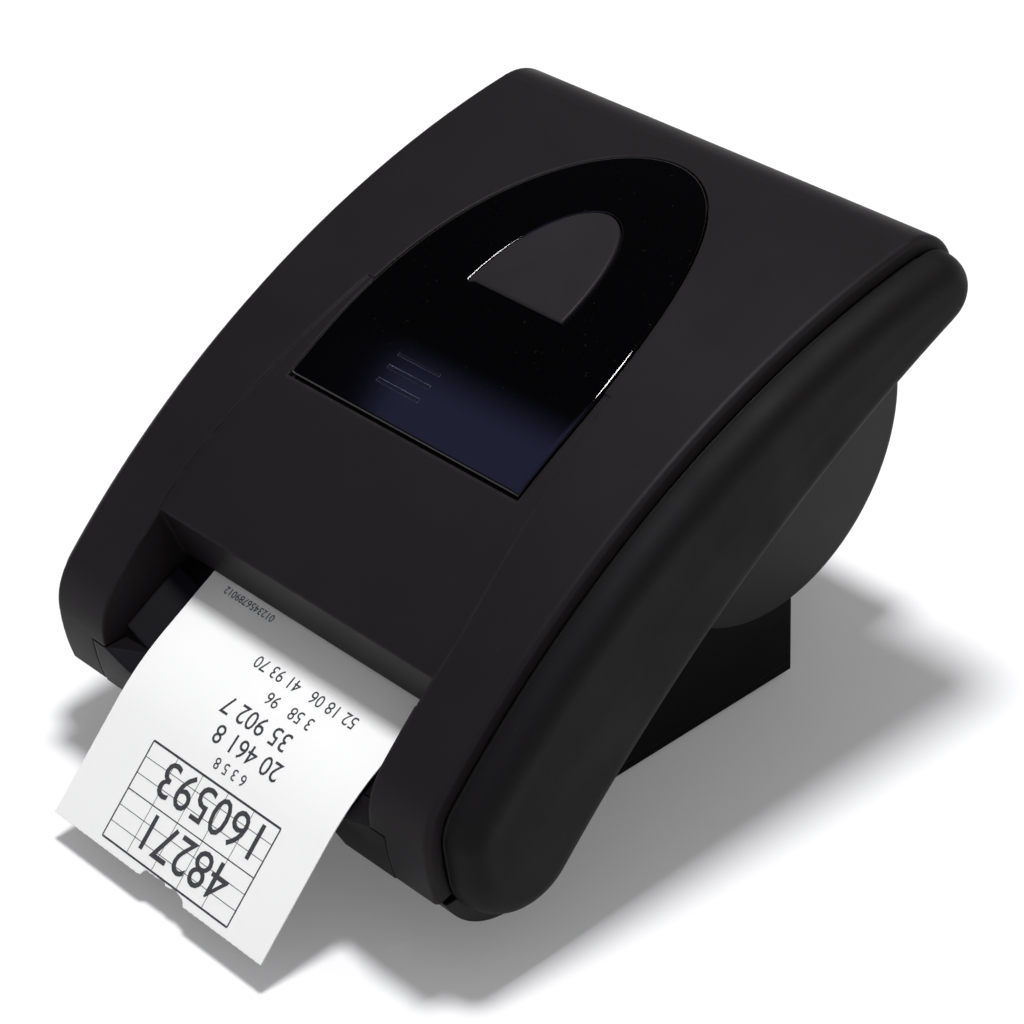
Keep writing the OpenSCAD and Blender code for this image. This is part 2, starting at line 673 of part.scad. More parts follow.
module base_shell() {
    under = dish_h - tray_t;
    color("#242224") place() union() {
        // Tongue and dished tray under the ticket
        difference() {
            union() {
                plate_x(-tongue_w / 2, tongue_w / 2) polygon(concat(
                    arc(chin_c, chin_r, 180 + asin((nose_h - tongue_h - 3) / chin_r), 180 + asin(nose_h / chin_r), 8),
                    [[tongue_d - nose_out, 0], [tongue_d - nose_out, tongue_h + 3]]
                ));
                plate_x(-mouth_hw + gap, mouth_hw - gap) polygon([
                    [0.5, 0], [tray_d, 0], [tray_d, dish_h + (tray_d - 0.5) * tan(tray_slope) + 8],
                    [0.5, dish_h + 8]
                ]);
            }
            translate([0, 0.5, dish_h]) rotate([tray_slope, 0, 0]) translate([0, -30, dish_r])
                rotate([-90, 0, 0]) cylinder(r = dish_r, h = 80, $fn = 360);
            // Flat limit of the tongue's height at its ends
            translate([-60, -20, tongue_h]) cube([120, 20 + tongue_d - nose_out + 0.01, 20]);
            // Rear part of the tray stays below the lid's wall
            plate_x(-60, 60) polygon([
                [tray_d - 4.6, paper_z(tray_d - 4.6) - 1], [tray_d + 1, paper_z(tray_d + 1) - 1],
                [tray_d + 1, 60], [tray_d - 4.6, 60]
            ]);
            // Hollow under the tray
            plate_x(-mouth_hw + gap + tray_t, mouth_hw - gap - tray_t) polygon([
                [6, -1], [tray_d + 1, -1], [tray_d + 1, under + (tray_d + 0.5) * tan(tray_slope)],
                [6, under + 5.5 * tan(tray_slope)]
            ]);
            // Thumb notch under the tongue
            translate([0, notch_d, 0]) rotate([90, 0, 0]) linear_extrude(notch_d + 8) polygon([
                [-notch_w / 2, -1], [notch_w / 2, -1], [notch_w / 2, 0],
                [notch_w / 2 - notch_h, notch_h], [notch_h - notch_w / 2, notch_h], [-notch_w / 2, 0]
            ]);
        }
        // Walls of the trough and of the neck behind it
        both_sides() plate_x(trough_in, trough_out) trough_side(tray_d + 1, trough_end);
        both_sides() translate([neck_out - 1.8, trough_end - 1.8, 0])
            cube([trough_out - neck_out + 1.8, 1.8, 24]);
        both_sides() plate_x(neck_out - 1.8, neck_out) difference() {
            polygon([[trough_end - 1.8, 0], [neck_end, 0], [neck_end + 4, 14], [neck_end + 4, 30], [trough_end - 1.8, 24]]);
            translate(bucket_c) circle(bucket_ro + 0.02, $fn = 180);
        }
        // Front cross wall behind the tray
        translate([-trough_out, tray_d - 0.4, 0]) cube([2 * trough_out, 1.6, 4]);
        // Sloping rear wall of the neck
        plate_x(-neck_out, neck_out) difference() {
            polygon([[neck_end - 1.8, 0], [neck_end, 0], [neck_end + 4, 14], [neck_end + 2.2, 14]]);
            translate(bucket_c) circle(bucket_ro + 0.02, $fn = 180);
        }
        // Decks that carry the side frames
        both_sides() intersection() {
            sweep_x(under_c, 90, 140, arch_fn)
                translate([under_r + deck_lift, neck_out]) square([deck_t, frame_in - neck_out]);
            union() {
                translate([trough_in, 26, -5]) cube([60, deck_end - 26, 90]);
                translate([neck_out - 1, trough_end - 1.8, -5]) cube([60, deck_end - trough_end + 1.8, 90]);
            }
        }
        both_sides() translate([trough_out - 0.5, tray_d, 0]) cube([frame_in - trough_out + 0.5, 8, 3]);
        both_sides() translate([neck_out + 0.6, deck_end - 2, tail_c[1] - 11]) cube([frame_in - neck_out - 0.6, 2, 8]);
    }
}

module trough_side(y0, y1) {
    polygon([[y0 - 1.6, 0], [y1, 0], [y1, 27], [y0 + 14, 10], [y0 - 1.6, 4]]);
}

module base_plate() {
    half = frame_in - 0.1;
    // Set back from the tongue, so that it doesn't show from the front
    plate_in = notch_d + 0.5;
    color("#1b1a1b") place() translate([0, 0, -plate_t]) linear_extrude(plate_t) polygon([
        [-half, plate_in], [half, plate_in], [half, 24], [trough_out, 34], [trough_out, trough_end],
        [neck_out, trough_end + 4], [neck_out, neck_end], [-neck_out, neck_end],
        [-neck_out, trough_end + 4], [-trough_out, trough_end], [-trough_out, 34], [-half, 24]
    ]);
}

module frame_outline() {
    polygon(grip_line(0));
    intersection() {
        translate(lobe_c) circle(lobe_r + rim_h);
        translate([0, -20]) square([40, 20 - 0.1]);
    }
}

module side_frame(left) {
    color("#232124") place() handed(left) difference() {
        union() {
            plate_x(frame_in, frame_hw) frame_outline();
            bar_x(tail_c, tail_r - 1.6, rail_gap / 2 + ear_w + clear, frame_in + 0.5);
        }
        bar_x(tail_c, pin_r + 0.01, frame_in - 5, frame_hw - 1);
    }
}
module side_frame_left() { side_frame(true); }
module side_frame_right() { side_frame(false); }

function turned(f, flip) = flip ? [f[2], f[1], f[0]] : f;

// Soft grip: rings of the outline, drawn in along a quarter ellipse towards its outer face
module grip(left) {
    steps = 7;
    depth = grip_out - clear;
    rings = [for (k = [0:steps]) let (a = 90 * k / (steps + 0.35))
        let (line = grip_line(0.05 + grip_draw * (1 - cos(a)), grip_tail_c))
        [for (p = line) [frame_hw + depth * sin(a), p[0], p[1]]]];
    n = len(rings[0]);
    points = [for (ring = rings) for (p = ring) p];
    sides = [for (k = [0:steps - 1]) for (i = [0:n - 1]) let (j = (i + 1) % n)
        each [[k * n + i, (k + 1) * n + i, (k + 1) * n + j], [k * n + i, (k + 1) * n + j, k * n + j]]];
    // Flat ends as strips between the upper and the lower edge
    ends = [for (k = [0, steps]) for (i = [0:floor(n / 2) - 1]) let (a = k * n, j = n - 1 - i)
        each (i + 1 < j - 1
            ? [turned([a + i, a + i + 1, a + j], k > 0), turned([a + i + 1, a + j - 1, a + j], k > 0)]
            : i + 1 < j ? [turned([a + i, a + i + 1, a + j], k > 0)] : [])];
    color("#1e1e1d") place() handed(left) polyhedron(points = points, faces = concat(sides, ends));
}
module grip_left() { grip(true); }
module grip_right() { grip(false); }

module roll_housing() {
    front_a = -150;
    top_a = 48;
    color("#333335") place() union() {
        sweep_x(bucket_c, front_a, top_a, 180)
            translate([bucket_r, -bucket_hw - 0.1]) square([bucket_t, bucket_w + 0.2]);
        // Discs, cut back round the hinge for the opening lid
        difference() {
            both_sides() bar_x(bucket_c, bucket_ro - 0.1, bucket_hw, bucket_hw + bucket_t, 180);
            bar_x(tail_c, rear_r + gap, -bucket_w, bucket_w, 96);
        }
    }
}

module mechanism_frame() {
    back = pinion_c[0] + 4;
    color("#9a9ca0") place() difference() {
        union() {
            both_sides() plate_x(chassis_hw, chassis_hw + chassis_t) polygon([
                [tray_d + 1.4, 0.02], [back, 0.02], [back, 15], [platen_c[0] + 8, nip_z + 2],
                [platen_c[0] - 4, nip_z + 2], [tray_d + 1.4, 18]
            ]);
            translate([-chassis_hw - 0.1, tray_d + 4, 0.02])
                cube([chassis_w + 0.2, back - tray_d - 4, chassis_t]);
            // Upright that carries the motor
            plate_x(motor_face, motor_face + chassis_t) polygon([
                [pinion_c[0] - 8, 0.5], [back, 0.5], [back, pinion_c[1] + 8], [pinion_c[0] - 8, pinion_c[1] + 8]
            ]);
        }
        bar_x(platen_c, bush_r + 0.01, -chassis_hw - 4, chassis_hw + 4);
        bar_x(idler_c, axle_r + 0.01, motor_face + 3, chassis_hw + 4);
        bar_x(pinion_c, 2.5, motor_face - 1, motor_face + 3);
    }
}

module bushing(left) {
    color("#c58f4a") place() handed(left) difference() {
        bar_x(platen_c, bush_r, chassis_hw, chassis_hw + chassis_t + 0.8);
        bar_x(platen_c, shaft_r + running, chassis_hw - 1, chassis_hw + 4);
    }
}
module bushing_left() { bushing(true); }
module bushing_right() { bushing(false); }

module idler_axle() {
    color("#c4c6c9") place() bar_x(idler_c, axle_r, gear_x - clear - 0.6, chassis_hw + chassis_t);
}

module motor() {
    color("#8b8d90") place() difference() {
        union() {
            bar_x(pinion_c, motor_r, motor_face - motor_len, motor_face);
            bar_x(pinion_c, 2.3, motor_face, motor_face + 1);
        }
        bar_x(pinion_c, 1 + running, motor_face - 6, motor_face + 2);
    }
}

module motor_shaft() {
    color("#c4c6c9") place() bar_x(pinion_c, 1, motor_face - 5, chassis_hw - clear);
}

// Spur gear outline with one tooth on the X axis
function gear_points(teeth) = let (p = 360 / teeth, r = tooth_m * teeth / 2) [
    for (i = [0:teeth - 1]) for (k = [[-0.27, -1.25], [-0.19, 0], [-0.1, 0.9], [0.1, 0.9], [0.19, 0], [0.27, -1.25]])
        (r + k[1] * tooth_m) * [cos((i + k[0]) * p), sin((i + k[0]) * p)]
];

module gear(c, teeth, phase, bore) {
    plate_x(gear_x, gear_x + gear_w) translate(c) rotate(phase) difference() {
        polygon(gear_points(teeth));
        circle(bore, $fn = 48);
    }
}

module platen_gear() {
    color("#e4e0d4") place() gear(platen_c, platen_teeth, idler_dir, shaft_r);
}
module idler_gear() {
    color("#e4e0d4") place() gear(idler_c, idler_teeth, idler_phase, axle_r + running);
}
module motor_pinion() {
    color("#b98a45") place() gear(pinion_c, pinion_teeth, pinion_phase, 1);
}

module platen_rubber() {
    color("#2a2a2b") place() difference() {
        bar_x(platen_c, platen_r, -platen_len / 2, platen_len / 2, 96);
        bar_x(platen_c, shaft_r, -platen_len, platen_len);
    }
}

module platen_shaft() {
    reach = chassis_hw + chassis_t + 0.8;
    color("#c4c6c9") place() bar_x(platen_c, shaft_r, -reach, reach);
}

module hinge_pin(left) {
    color("#c4c6c9") place() handed(left)
        bar_x(tail_c, pin_r, rail_gap / 2 + 0.4, frame_hw - 1.02);
}
module hinge_pin_left() { hinge_pin(true); }
module hinge_pin_right() { hinge_pin(false); }

// Paper

module paper_roll() {
    color("#f3f2ee") place() difference() {
        bar_x(roll_c, roll_r, -paper_w / 2 + 0.1, paper_w / 2 - 0.1, 128);
        bar_x(roll_c, core_r, -paper_w, paper_w);
    }
}

module roll_core() {
    color("#b08d62") place() difference() {
        bar_x(roll_c, core_r, -paper_w / 2 + 0.1, paper_w / 2 - 0.1);
        bar_x(roll_c, core_r - core_t, -paper_w, paper_w);
    }
}

// One sheet from the roll through the nip to the free end; side is -1 for its lower face
function sheet_line(side) = let (
    h = side * paper_t / 2,
    bend_c = nip - ticket_flat * along - ticket_bend_r * above,
    a0 = 90 + paper_slope,
    a1 = a0 + ticket_bend,
    last = bend_c + ticket_bend_r * dir(a1)
) concat(
    [web_end + h * dir(web_a + 90), nip + h * above],
    arc(bend_c, ticket_bend_r + h, a0, a1, 16),
    [last - ticket_end * dir(a1 - 90) + h * dir(a1)]
);
module ticket() {
    upper = sheet_line(1);
    lower = sheet_line(-1);
    color("#f0f0f5") place() plate_x(-paper_w / 2, paper_w / 2)
        polygon(concat(upper, [for (i = [len(lower) - 1:-1:0]) lower[i]]));
}

// Foot

module foot_block() {
    color("#141416") place() union() {
        foot_case();
        // Bosses that take the screws and hold the board down
        for (i = [0:3]) translate([screw_at(i)[0], screw_at(i)[1], board_top + 0.02]) difference() {
            cylinder(r = boss_r, h = -plate_t - foot_t - board_top + 0.5, $fn = 48);
            translate([0, 0, -1]) cylinder(r = screw_r + 0.02, h = 9.6, $fn = 48);
        }
    }
}

module foot_case() {
    difference() {
        translate([-foot_hw, foot_y, cover_z + cover_t]) cube([foot_w, foot_d, foot_top - cover_z - cover_t]);
        // Step under the plate, cradle for the roll housing, hollow for the electronics
        translate([-foot_hw - 1, foot_y - 1, -plate_t - 0.02])
            cube([foot_w + 2, neck_end + 5.5 - foot_y + 1, foot_top + plate_t + 1]);
        bar_x(bucket_c, bucket_ro + 0.05, -foot_w, foot_w, 180);
        translate([-foot_hw + foot_t, foot_y + foot_t, ground]) cube([
            foot_w - 2 * foot_t, foot_d - 2 * foot_t, foot_h - plate_t - foot_t
        ]);
        // Openings of the power inlet, the data socket and the switch
        translate([inlet_x, foot_end + 1, port_z]) rotate([90, 0, 0]) cylinder(r = 3.6, h = 4, $fn = 64);
        translate([data_x - 4.6, foot_end - 3, port_z - 1.9]) cube([9.2, 5, 3.8]);
        translate([switch_x - switch_w / 2, foot_end - 3, port_z - switch_h / 2]) cube([switch_w, 5, switch_h]);
    }
}

function screw_at(i) = [
    (i % 2 == 0 ? -1 : 1) * (foot_hw - screw_in),
    i < 2 ? foot_y + screw_in : foot_end - screw_in - 8
];

module foot_cover() {
    color("#1a1a1c") place() difference() {
        union() {
            translate([-foot_hw, foot_y, cover_z]) cube([foot_w, foot_d, cover_t]);
            for (i = [0:3]) translate([screw_at(i)[0], screw_at(i)[1], cover_z])
                cylinder(r = boss_r, h = board_top - board_t - cover_z - 0.02, $fn = 48);
        }
        for (i = [0:3]) translate([screw_at(i)[0], screw_at(i)[1], cover_z - 1]) {
            cylinder(r = screw_r + 0.2, h = 5, $fn = 48);
            cylinder(r = 2.9, h = 1.82, $fn = 48);
        }
    }
}

module foot_screw(i) {
    color("#6f7175") place() translate([screw_at(i)[0], screw_at(i)[1], cover_z]) difference() {
        union() {
            cylinder(r = 2.8, h = 0.8, $fn = 48);
            cylinder(r = screw_r, h = board_top - cover_z + 8, $fn = 48);
        }
        translate([-1.9, -0.35, -1]) cube([3.8, 0.7, 1.4]);
        translate([-0.35, -1.9, -1]) cube([0.7, 3.8, 1.4]);
    }
}
module foot_screw_1() { foot_screw(0); }
module foot_screw_2() { foot_screw(1); }
module foot_screw_3() { foot_screw(2); }
module foot_screw_4() { foot_screw(3); }

module rubber_pad(i) {
    pad_in = pad_r + 1.2;
    x = (i % 2 == 0 ? -1 : 1) * (foot_hw - pad_in);
    y = i < 2 ? foot_y + screw_in + pad_r + 5 : foot_end - pad_in;
    color("#262626") place() translate([x, y, ground]) cylinder(r = pad_r, h = cover_z - ground, $fn = 64);
}
module rubber_pad_1() { rubber_pad(0); }
module rubber_pad_2() { rubber_pad(1); }
module rubber_pad_3() { rubber_pad(2); }
module rubber_pad_4() { rubber_pad(3); }

module main_board() {
    color("#1f6b45") place() difference() {
        translate([3 - foot_hw, foot_y + 3, board_top - board_t]) cube([foot_w - 6, foot_d - 12.6, board_t]);
        for (i = [0:3]) translate([screw_at(i)[0], screw_at(i)[1], ground]) cylinder(r = 1.7, h = 20, $fn = 48);
    }
}

module board_chip() {
    color("#202124") place() translate([-8, foot_y + 20, board_top]) cube([12, 12, 1.2]);
}

module capacitor() {
    color("#3b4a66") place() translate([12, foot_y + 22, board_top]) cylinder(r = 4, h = 8, $fn = 48);
}

module power_inlet() {
    color("#1a1a1c") place() difference() {
        union() {
            translate([inlet_x - 4.5, foot_end - 14, board_top]) cube([9, 14 - foot_t, 8]);
            translate([inlet_x, foot_end, port_z]) rotate([90, 0, 0]) cylinder(r = 3.5, h = foot_t + 1, $fn = 64);
        }
        difference() {
            translate([inlet_x, foot_end + 1, port_z]) rotate([90, 0, 0]) cylinder(r = 2.8, h = 10, $fn = 64);
            translate([inlet_x, foot_end - 1, port_z]) rotate([90, 0, 0]) cylinder(r = 1, h = 10, $fn = 32);
        }
    }
}

module data_socket() {
    color("#b9bcc0") place() difference() {
        translate([data_x - 4.5, foot_end - 9, port_z - 1.8]) cube([9, 9, 3.6]);
        difference() {
            translate([data_x - 4, foot_end - 7, port_z - 1.3]) cube([8, 8, 2.6]);
            translate([data_x - 3, foot_end - 7, port_z - 0.35]) cube([6, 6, 0.7]);
        }
    }
}

module switch_frame() {
    color("#1a1a1c") place() difference() {
        union() {
            translate([switch_x - switch_w / 2 + 0.1, foot_end - 9, port_z - switch_h / 2 + 0.1])
                cube([switch_w - 0.2, 9, switch_h - 0.2]);
            translate([switch_x - switch_w / 2 - 0.8, foot_end, port_z - switch_h / 2 - 0.6])
                cube([switch_w + 1.6, 0.8, switch_h + 1.2]);
        }
        bar_x(rocker_c, rocker_r + clear, switch_x - switch_w / 2 + 1, switch_x + switch_w / 2 - 1, 96);
    }
}

module switch_rocker() {
    // Two flat faces: the lower one pressed in, the upper one standing out
    color("#2a2a2c") place() intersection() {
        bar_x(rocker_c, rocker_r, switch_x - switch_w / 2 + 1 + clear, switch_x + switch_w / 2 - 1 - clear, 96);
        plate_x(switch_x - switch_w, switch_x + switch_w) translate(rocker_c) polygon([
            [-3, -4], [1.6 - 4 * tan(3), -4], [1.6, 0], [1.6 + 4 * tan(17), 4], [-3, 4]
        ]);
    }
}

base_shell();
base_plate();
side_frame_left();
side_frame_right();
grip_left();
grip_right();
roll_housing();
mechanism_frame();
bushing_left();
bushing_right();
idler_axle();
motor();
hinge_pin_left();
hinge_pin_right();
ticket();
foot_block();
foot_cover();
rubber_pad_1();
rubber_pad_2();
rubber_pad_3();
rubber_pad_4();
foot_screw_1();
foot_screw_2();
foot_screw_3();
foot_screw_4();
main_board();
board_chip();
capacitor();
power_inlet();
data_socket();
switch_frame();
platen_rubber();
platen_shaft();
platen_gear();
idler_gear();
motor_shaft();
motor_pinion();
paper_roll();
roll_core();
switch_rocker();
lid_shell();
lid_frame();
control_panel();
light_bars();
heat_sink();
print_head();
head_spring_left();
head_spring_right();
tear_bar();
button_board();
dome_switch();
feed_button();
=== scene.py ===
"""Looks of a small ticket printer: an arched lid with a glossy panel between two soft grips, a round
paper housing behind and below, and a foot block under it. Formulas are in body millimetres, with X
to the right, Y to the back from the front lower edge and Z up from the underside; metres() moves
them to the row frame.
"""
import math
import bmesh
import bpy
import numpy as np
from mathutils import Matrix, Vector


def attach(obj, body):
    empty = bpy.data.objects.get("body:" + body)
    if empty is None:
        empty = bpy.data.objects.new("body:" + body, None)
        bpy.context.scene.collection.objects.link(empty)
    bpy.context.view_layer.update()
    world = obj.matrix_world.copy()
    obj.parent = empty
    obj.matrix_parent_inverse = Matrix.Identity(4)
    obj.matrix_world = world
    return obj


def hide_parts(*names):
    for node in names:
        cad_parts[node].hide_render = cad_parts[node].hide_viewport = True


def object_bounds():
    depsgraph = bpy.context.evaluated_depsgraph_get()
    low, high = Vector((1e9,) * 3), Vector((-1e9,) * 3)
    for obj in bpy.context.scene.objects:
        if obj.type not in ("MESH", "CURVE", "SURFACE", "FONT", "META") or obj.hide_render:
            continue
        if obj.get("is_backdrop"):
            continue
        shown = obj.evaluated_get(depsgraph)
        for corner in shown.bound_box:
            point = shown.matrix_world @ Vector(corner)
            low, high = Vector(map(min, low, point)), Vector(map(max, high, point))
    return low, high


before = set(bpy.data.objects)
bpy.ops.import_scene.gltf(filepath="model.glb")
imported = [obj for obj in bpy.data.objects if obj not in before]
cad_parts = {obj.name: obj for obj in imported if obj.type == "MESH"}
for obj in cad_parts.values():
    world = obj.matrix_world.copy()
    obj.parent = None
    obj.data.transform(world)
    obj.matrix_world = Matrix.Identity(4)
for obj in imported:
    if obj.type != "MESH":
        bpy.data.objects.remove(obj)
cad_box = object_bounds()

# View of the printer: a camera above its front right corner, one round lamp almost straight overhead
# in a light tent, and a white table. The table takes the shadow and goes to white outside it.
def linear(code):
    """Linear RGBA of an sRGB hex colour: ((c + 0.055) / 1.055) ** 2.4, or c / 12.92 up to 0.04045."""
    c = np.array([int(code[i:i + 2], 16) for i in (1, 3, 5)]) / 255
    return (*np.where(c > 0.04045, ((c + 0.055) / 1.055) ** 2.4, c / 12.92), 1.0)


def add(tree, kind, settings=None, **feeds):
    """Adds one shader node with its settings. A feed is an input's name, with _ for a space, or i and its
    number, and holds a value or another node's output."""
    node = tree.nodes.new("ShaderNode" + kind)
    for key, value in (settings or {}).items():
        setattr(node, key, value)
    for key, value in feeds.items():
        socket = node.inputs[int(key[1:]) if key[1:].isdigit() else key.replace("_", " ")]
        if isinstance(value, bpy.types.NodeSocket):
            tree.links.new(value, socket)
        else:
            socket.default_value = value
    return node


def blank(name):
    """An empty material and its node tree."""
    material = bpy.data.materials.new(name)
    material.use_nodes = True
    material.node_tree.nodes.clear()
    return material, material.node_tree


camera_data = bpy.data.cameras.new("photo_view")
camera_data.lens = 107.92
camera_data.sensor_width = 36.0
camera_data.clip_start = 0.01
camera_data.clip_end = 20.0
camera = bpy.data.objects.new("photo_view", camera_data)
bpy.context.scene.collection.objects.link(camera)
# The camera looks against to_back; these three directions and its stand were solved from the edges seen
to_right = (0.6784012, 0.73342598, -0.04310631)
to_back = (0.63072411, -0.55130682, 0.54612077)
to_top = (-0.37677436, 0.39767717, 0.83659665)
stand = (0.348763, -0.295932, 0.343582)
turned = [(to_right[i], to_top[i], to_back[i], stand[i]) for i in range(3)]
camera.matrix_world = Matrix(turned + [(0, 0, 0, 1)])
bpy.context.scene.camera = camera
bpy.context.scene.view_settings.view_transform = "Standard"

lamp_data = bpy.data.lights.new("tent_top", "AREA")
lamp_data.shape = "DISK"
lamp_data.size = 0.13
lamp_data.energy = 5.3
lamp = bpy.data.objects.new("tent_top", lamp_data)
lamp.location = (0.02, 0.02, 0.75)
bpy.context.scene.collection.objects.link(lamp)

world = bpy.data.worlds.new("light_tent")
bpy.context.scene.world = world
world.use_nodes = True
tent = world.node_tree
tent.nodes.clear()
# The camera sees white all round. Gloss sees the white sweep near the horizon, the unlit room above it
# and, up on the left, one dim blue pane with soft edges
sees = add(tent, "LightPath")
across = add(tent, "SeparateXYZ", i0=add(tent, "TexCoord").outputs["Generated"])
height = across.outputs[2]
sweep = add(tent, "MapRange", i0=height, i1=0.08, i2=0.4, i3=1.0, i4=0.02).outputs[0]
soft = {"interpolation_type": "SMOOTHSTEP"}
ahead = add(tent, "MapRange", soft, i0=across.outputs[1], i1=-0.06, i2=-0.16, i3=0.0, i4=1.0).outputs[0]
aside = add(tent, "MapRange", soft, i0=across.outputs[0], i1=-0.678, i2=-0.67, i3=0.0, i4=1.0).outputs[0]
above = add(tent, "MapRange", soft, i0=height, i1=0.6, i2=0.68, i3=0.0, i4=1.0).outputs[0]
pane = add(tent, "Math", {"operation": "MULTIPLY"}, i0=ahead, i1=above).outputs[0]
pane = add(tent, "Math", {"operation": "MULTIPLY"}, i0=pane, i1=aside).outputs[0]
pane = add(tent, "Background", Color=linear("#8c90d0"), Strength=pane)
room = add(tent, "Background", Color=linear("#ffffff"), Strength=0.36)
mirrored = add(tent, "Background", Color=linear("#ffffff"), Strength=sweep)
mirrored = add(tent, "AddShader", i0=mirrored.outputs[0], i1=pane.outputs[0])
white = add(tent, "Background", Color=linear("#ffffff"), Strength=1.0)
gloss, pass_through = sees.outputs["Is Glossy Ray"], sees.outputs["Is Transmission Ray"]
gloss = add(tent, "Math", {"operation": "MAXIMUM"}, i0=gloss, i1=pass_through).outputs[0]
lit = add(tent, "MixShader", i0=gloss, i1=room.outputs[0], i2=mirrored.outputs[0])
seen = add(tent, "MixShader", i0=sees.outputs["Is Camera Ray"], i1=lit.outputs[0], i2=white.outputs[0])
add(tent, "OutputWorld", Surface=seen.outputs[0])

table_white, tree = blank("white_table")
# White sheet: under the printer it keeps the soft grey shadow, round it it reaches white, and far off,
# where the lamp fades, it stays white
sheet = add(tree, "BsdfDiffuse", Color=linear("#e6e6e8"), Roughness=0.4)
sees = add(tree, "LightPath")
direct, gloss, pass_through = (sees.outputs[f"Is {ray} Ray"] for ray in ("Camera", "Glossy", "Transmission"))
shown = add(tree, "Math", {"operation": "MAXIMUM"}, i0=direct, i1=gloss).outputs[0]
shown = add(tree, "Math", {"operation": "MAXIMUM"}, i0=shown, i1=pass_through)
place = add(tree, "TexCoord").outputs["Object"]
far = add(tree, "VectorMath", {"operation": "LENGTH"}, i0=place).outputs["Value"]
far = add(tree, "MapRange", i0=far, i1=0.2, i2=0.7, i3=0.12, i4=0.85).outputs[0]
glow = add(tree, "Math", {"operation": "MULTIPLY"}, i0=shown.outputs[0], i1=far)
glow = add(tree, "Emission", Color=linear("#ffffff"), Strength=glow.outputs[0])
sheet = add(tree, "AddShader", i0=sheet.outputs[0], i1=glow.outputs[0])
add(tree, "OutputMaterial", Surface=sheet.outputs[0])
table_mesh = bpy.data.meshes.new("table")
reach = 3.0
corners = [(-reach, -reach, 0), (reach, -reach, 0), (reach, reach, 0), (-reach, reach, 0)]
table_mesh.from_pydata(corners, [], [(0, 1, 2, 3)])
table_mesh.materials.append(table_white)
table = bpy.data.objects.new("table", table_mesh)
bpy.context.scene.collection.objects.link(table)
table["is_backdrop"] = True


# Foot block: a hollow case moulded in near black ABS, with a fine spark-eroded grain. It is closed
# by a flat cover, held by four pan-head screws, and stands on four rubber pads.
def moulded(name, colour, rough, grain, depth, round_edge=0.4, drift=0.1, wear_and_glint_colour="#55534f", wear_and_glint=0.2,
            dust=0.05, shine=0.5, sheen=0.0):
    """Moulded plastic. Sizes are in mm: grain of the mould, its depth, and the edge radius.

    Colour = base * (1 +- drift * slow noise), paler on the edges, partly as wear and partly as a painted
    highlight along them, with a few specks of dust on top faces.
    """
    material, tree = blank(name)
    place = add(tree, "TexCoord").outputs["Object"]
    base = np.array(linear(colour))
    low = (*(base[:3] * (1 - drift)), 1.0)
    high = (*np.minimum(base[:3] * (1 + drift), 1.0), 1.0)
    slow = add(tree, "TexNoise", Vector=place, Scale=28.0, Detail=2.0).outputs[0]
    tone = add(tree, "Mix", {"data_type": "RGBA"}, i0=slow, i6=low, i7=high).outputs[2]
    rounded = add(tree, "Bevel", {"samples": 6}, Radius=round_edge / 1000).outputs[0]
    flat = add(tree, "NewGeometry").outputs["Normal"]
    turn = add(tree, "VectorMath", {"operation": "DOT_PRODUCT"}, i0=rounded, i1=flat).outputs["Value"]
    # Paler colour on the edges: partly wear, partly a painted highlight along the rounded edges
    edge = add(tree, "MapRange", i0=turn, i1=0.999, i2=0.86, i3=0.0, i4=wear_and_glint).outputs[0]
    wear_and_glint_noise = add(tree, "TexNoise", Vector=place, Scale=260.0, Detail=4.0, Roughness=0.7).outputs[0]
    wear_and_glint_noise = add(tree, "MapRange", i0=wear_and_glint_noise, i1=0.35, i2=0.7, i3=0.2, i4=1.0).outputs[0]
    edge = add(tree, "Math", {"operation": "MULTIPLY"}, i0=edge, i1=wear_and_glint_noise).outputs[0]
    tone = add(tree, "Mix", {"data_type": "RGBA"}, i0=edge, i6=tone, i7=linear(wear_and_glint_colour)).outputs[2]
    upward = add(tree, "SeparateXYZ", i0=flat).outputs[2]
    upward = add(tree, "MapRange", i0=upward, i1=0.3, i2=0.9, i3=0.0, i4=dust).outputs[0]
    speck = add(tree, "TexNoise", Vector=place, Scale=900.0, Detail=4.0, Roughness=0.8).outputs[0]
    speck = add(tree, "MapRange", i0=speck, i1=0.66, i2=0.76, i3=0.0, i4=1.0).outputs[0]
    speck = add(tree, "Math", {"operation": "MULTIPLY"}, i0=speck, i1=upward).outputs[0]
    tone = add(tree, "Mix", {"data_type": "RGBA"}, i0=speck, i6=tone, i7=linear("#a8a49c")).outputs[2]
    smear = add(tree, "TexNoise", Vector=place, Scale=75.0, Detail=3.0).outputs[0]
    rough_map = add(tree, "MapRange", i0=smear, i1=0.3, i2=0.7, i3=rough * 0.9, i4=rough * 1.1).outputs[0]
    pits = add(tree, "TexNoise", Vector=place, Scale=1000 / grain, Detail=2.0, Roughness=0.6).outputs[0]
    skin = add(tree, "Bump", Strength=1.0, Distance=depth / 1000, Height=pits, Normal=rounded).outputs[0]
    shader = add(tree, "BsdfPrincipled", Base_Color=tone, Roughness=rough_map, Normal=skin,
                 Specular_IOR_Level=shine, Sheen_Weight=sheen, Sheen_Roughness=0.5)
    add(tree, "OutputMaterial", Surface=shader.outputs[0])
    return material


def dress(material, *names):
    """Gives CAD nodes a material, smooth up to 32 degrees between faces."""
    for name in names:
        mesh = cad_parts[name].data
        mesh.materials.clear()
        mesh.materials.append(material)
        mesh.polygons.foreach_set("use_smooth", np.ones(len(mesh.polygons), bool))
        mesh.set_sharp_from_angle(angle=math.radians(32))


# Near black and without gloss, so that the block sinks into its own shadow
foot_abs = moulded("black_grained_abs", "#08080a", 0.55, 0.35, 0.03, round_edge=0.5, wear_and_glint=0.1, shine=0.06)
dress(foot_abs, "foot_block", "foot_cover")
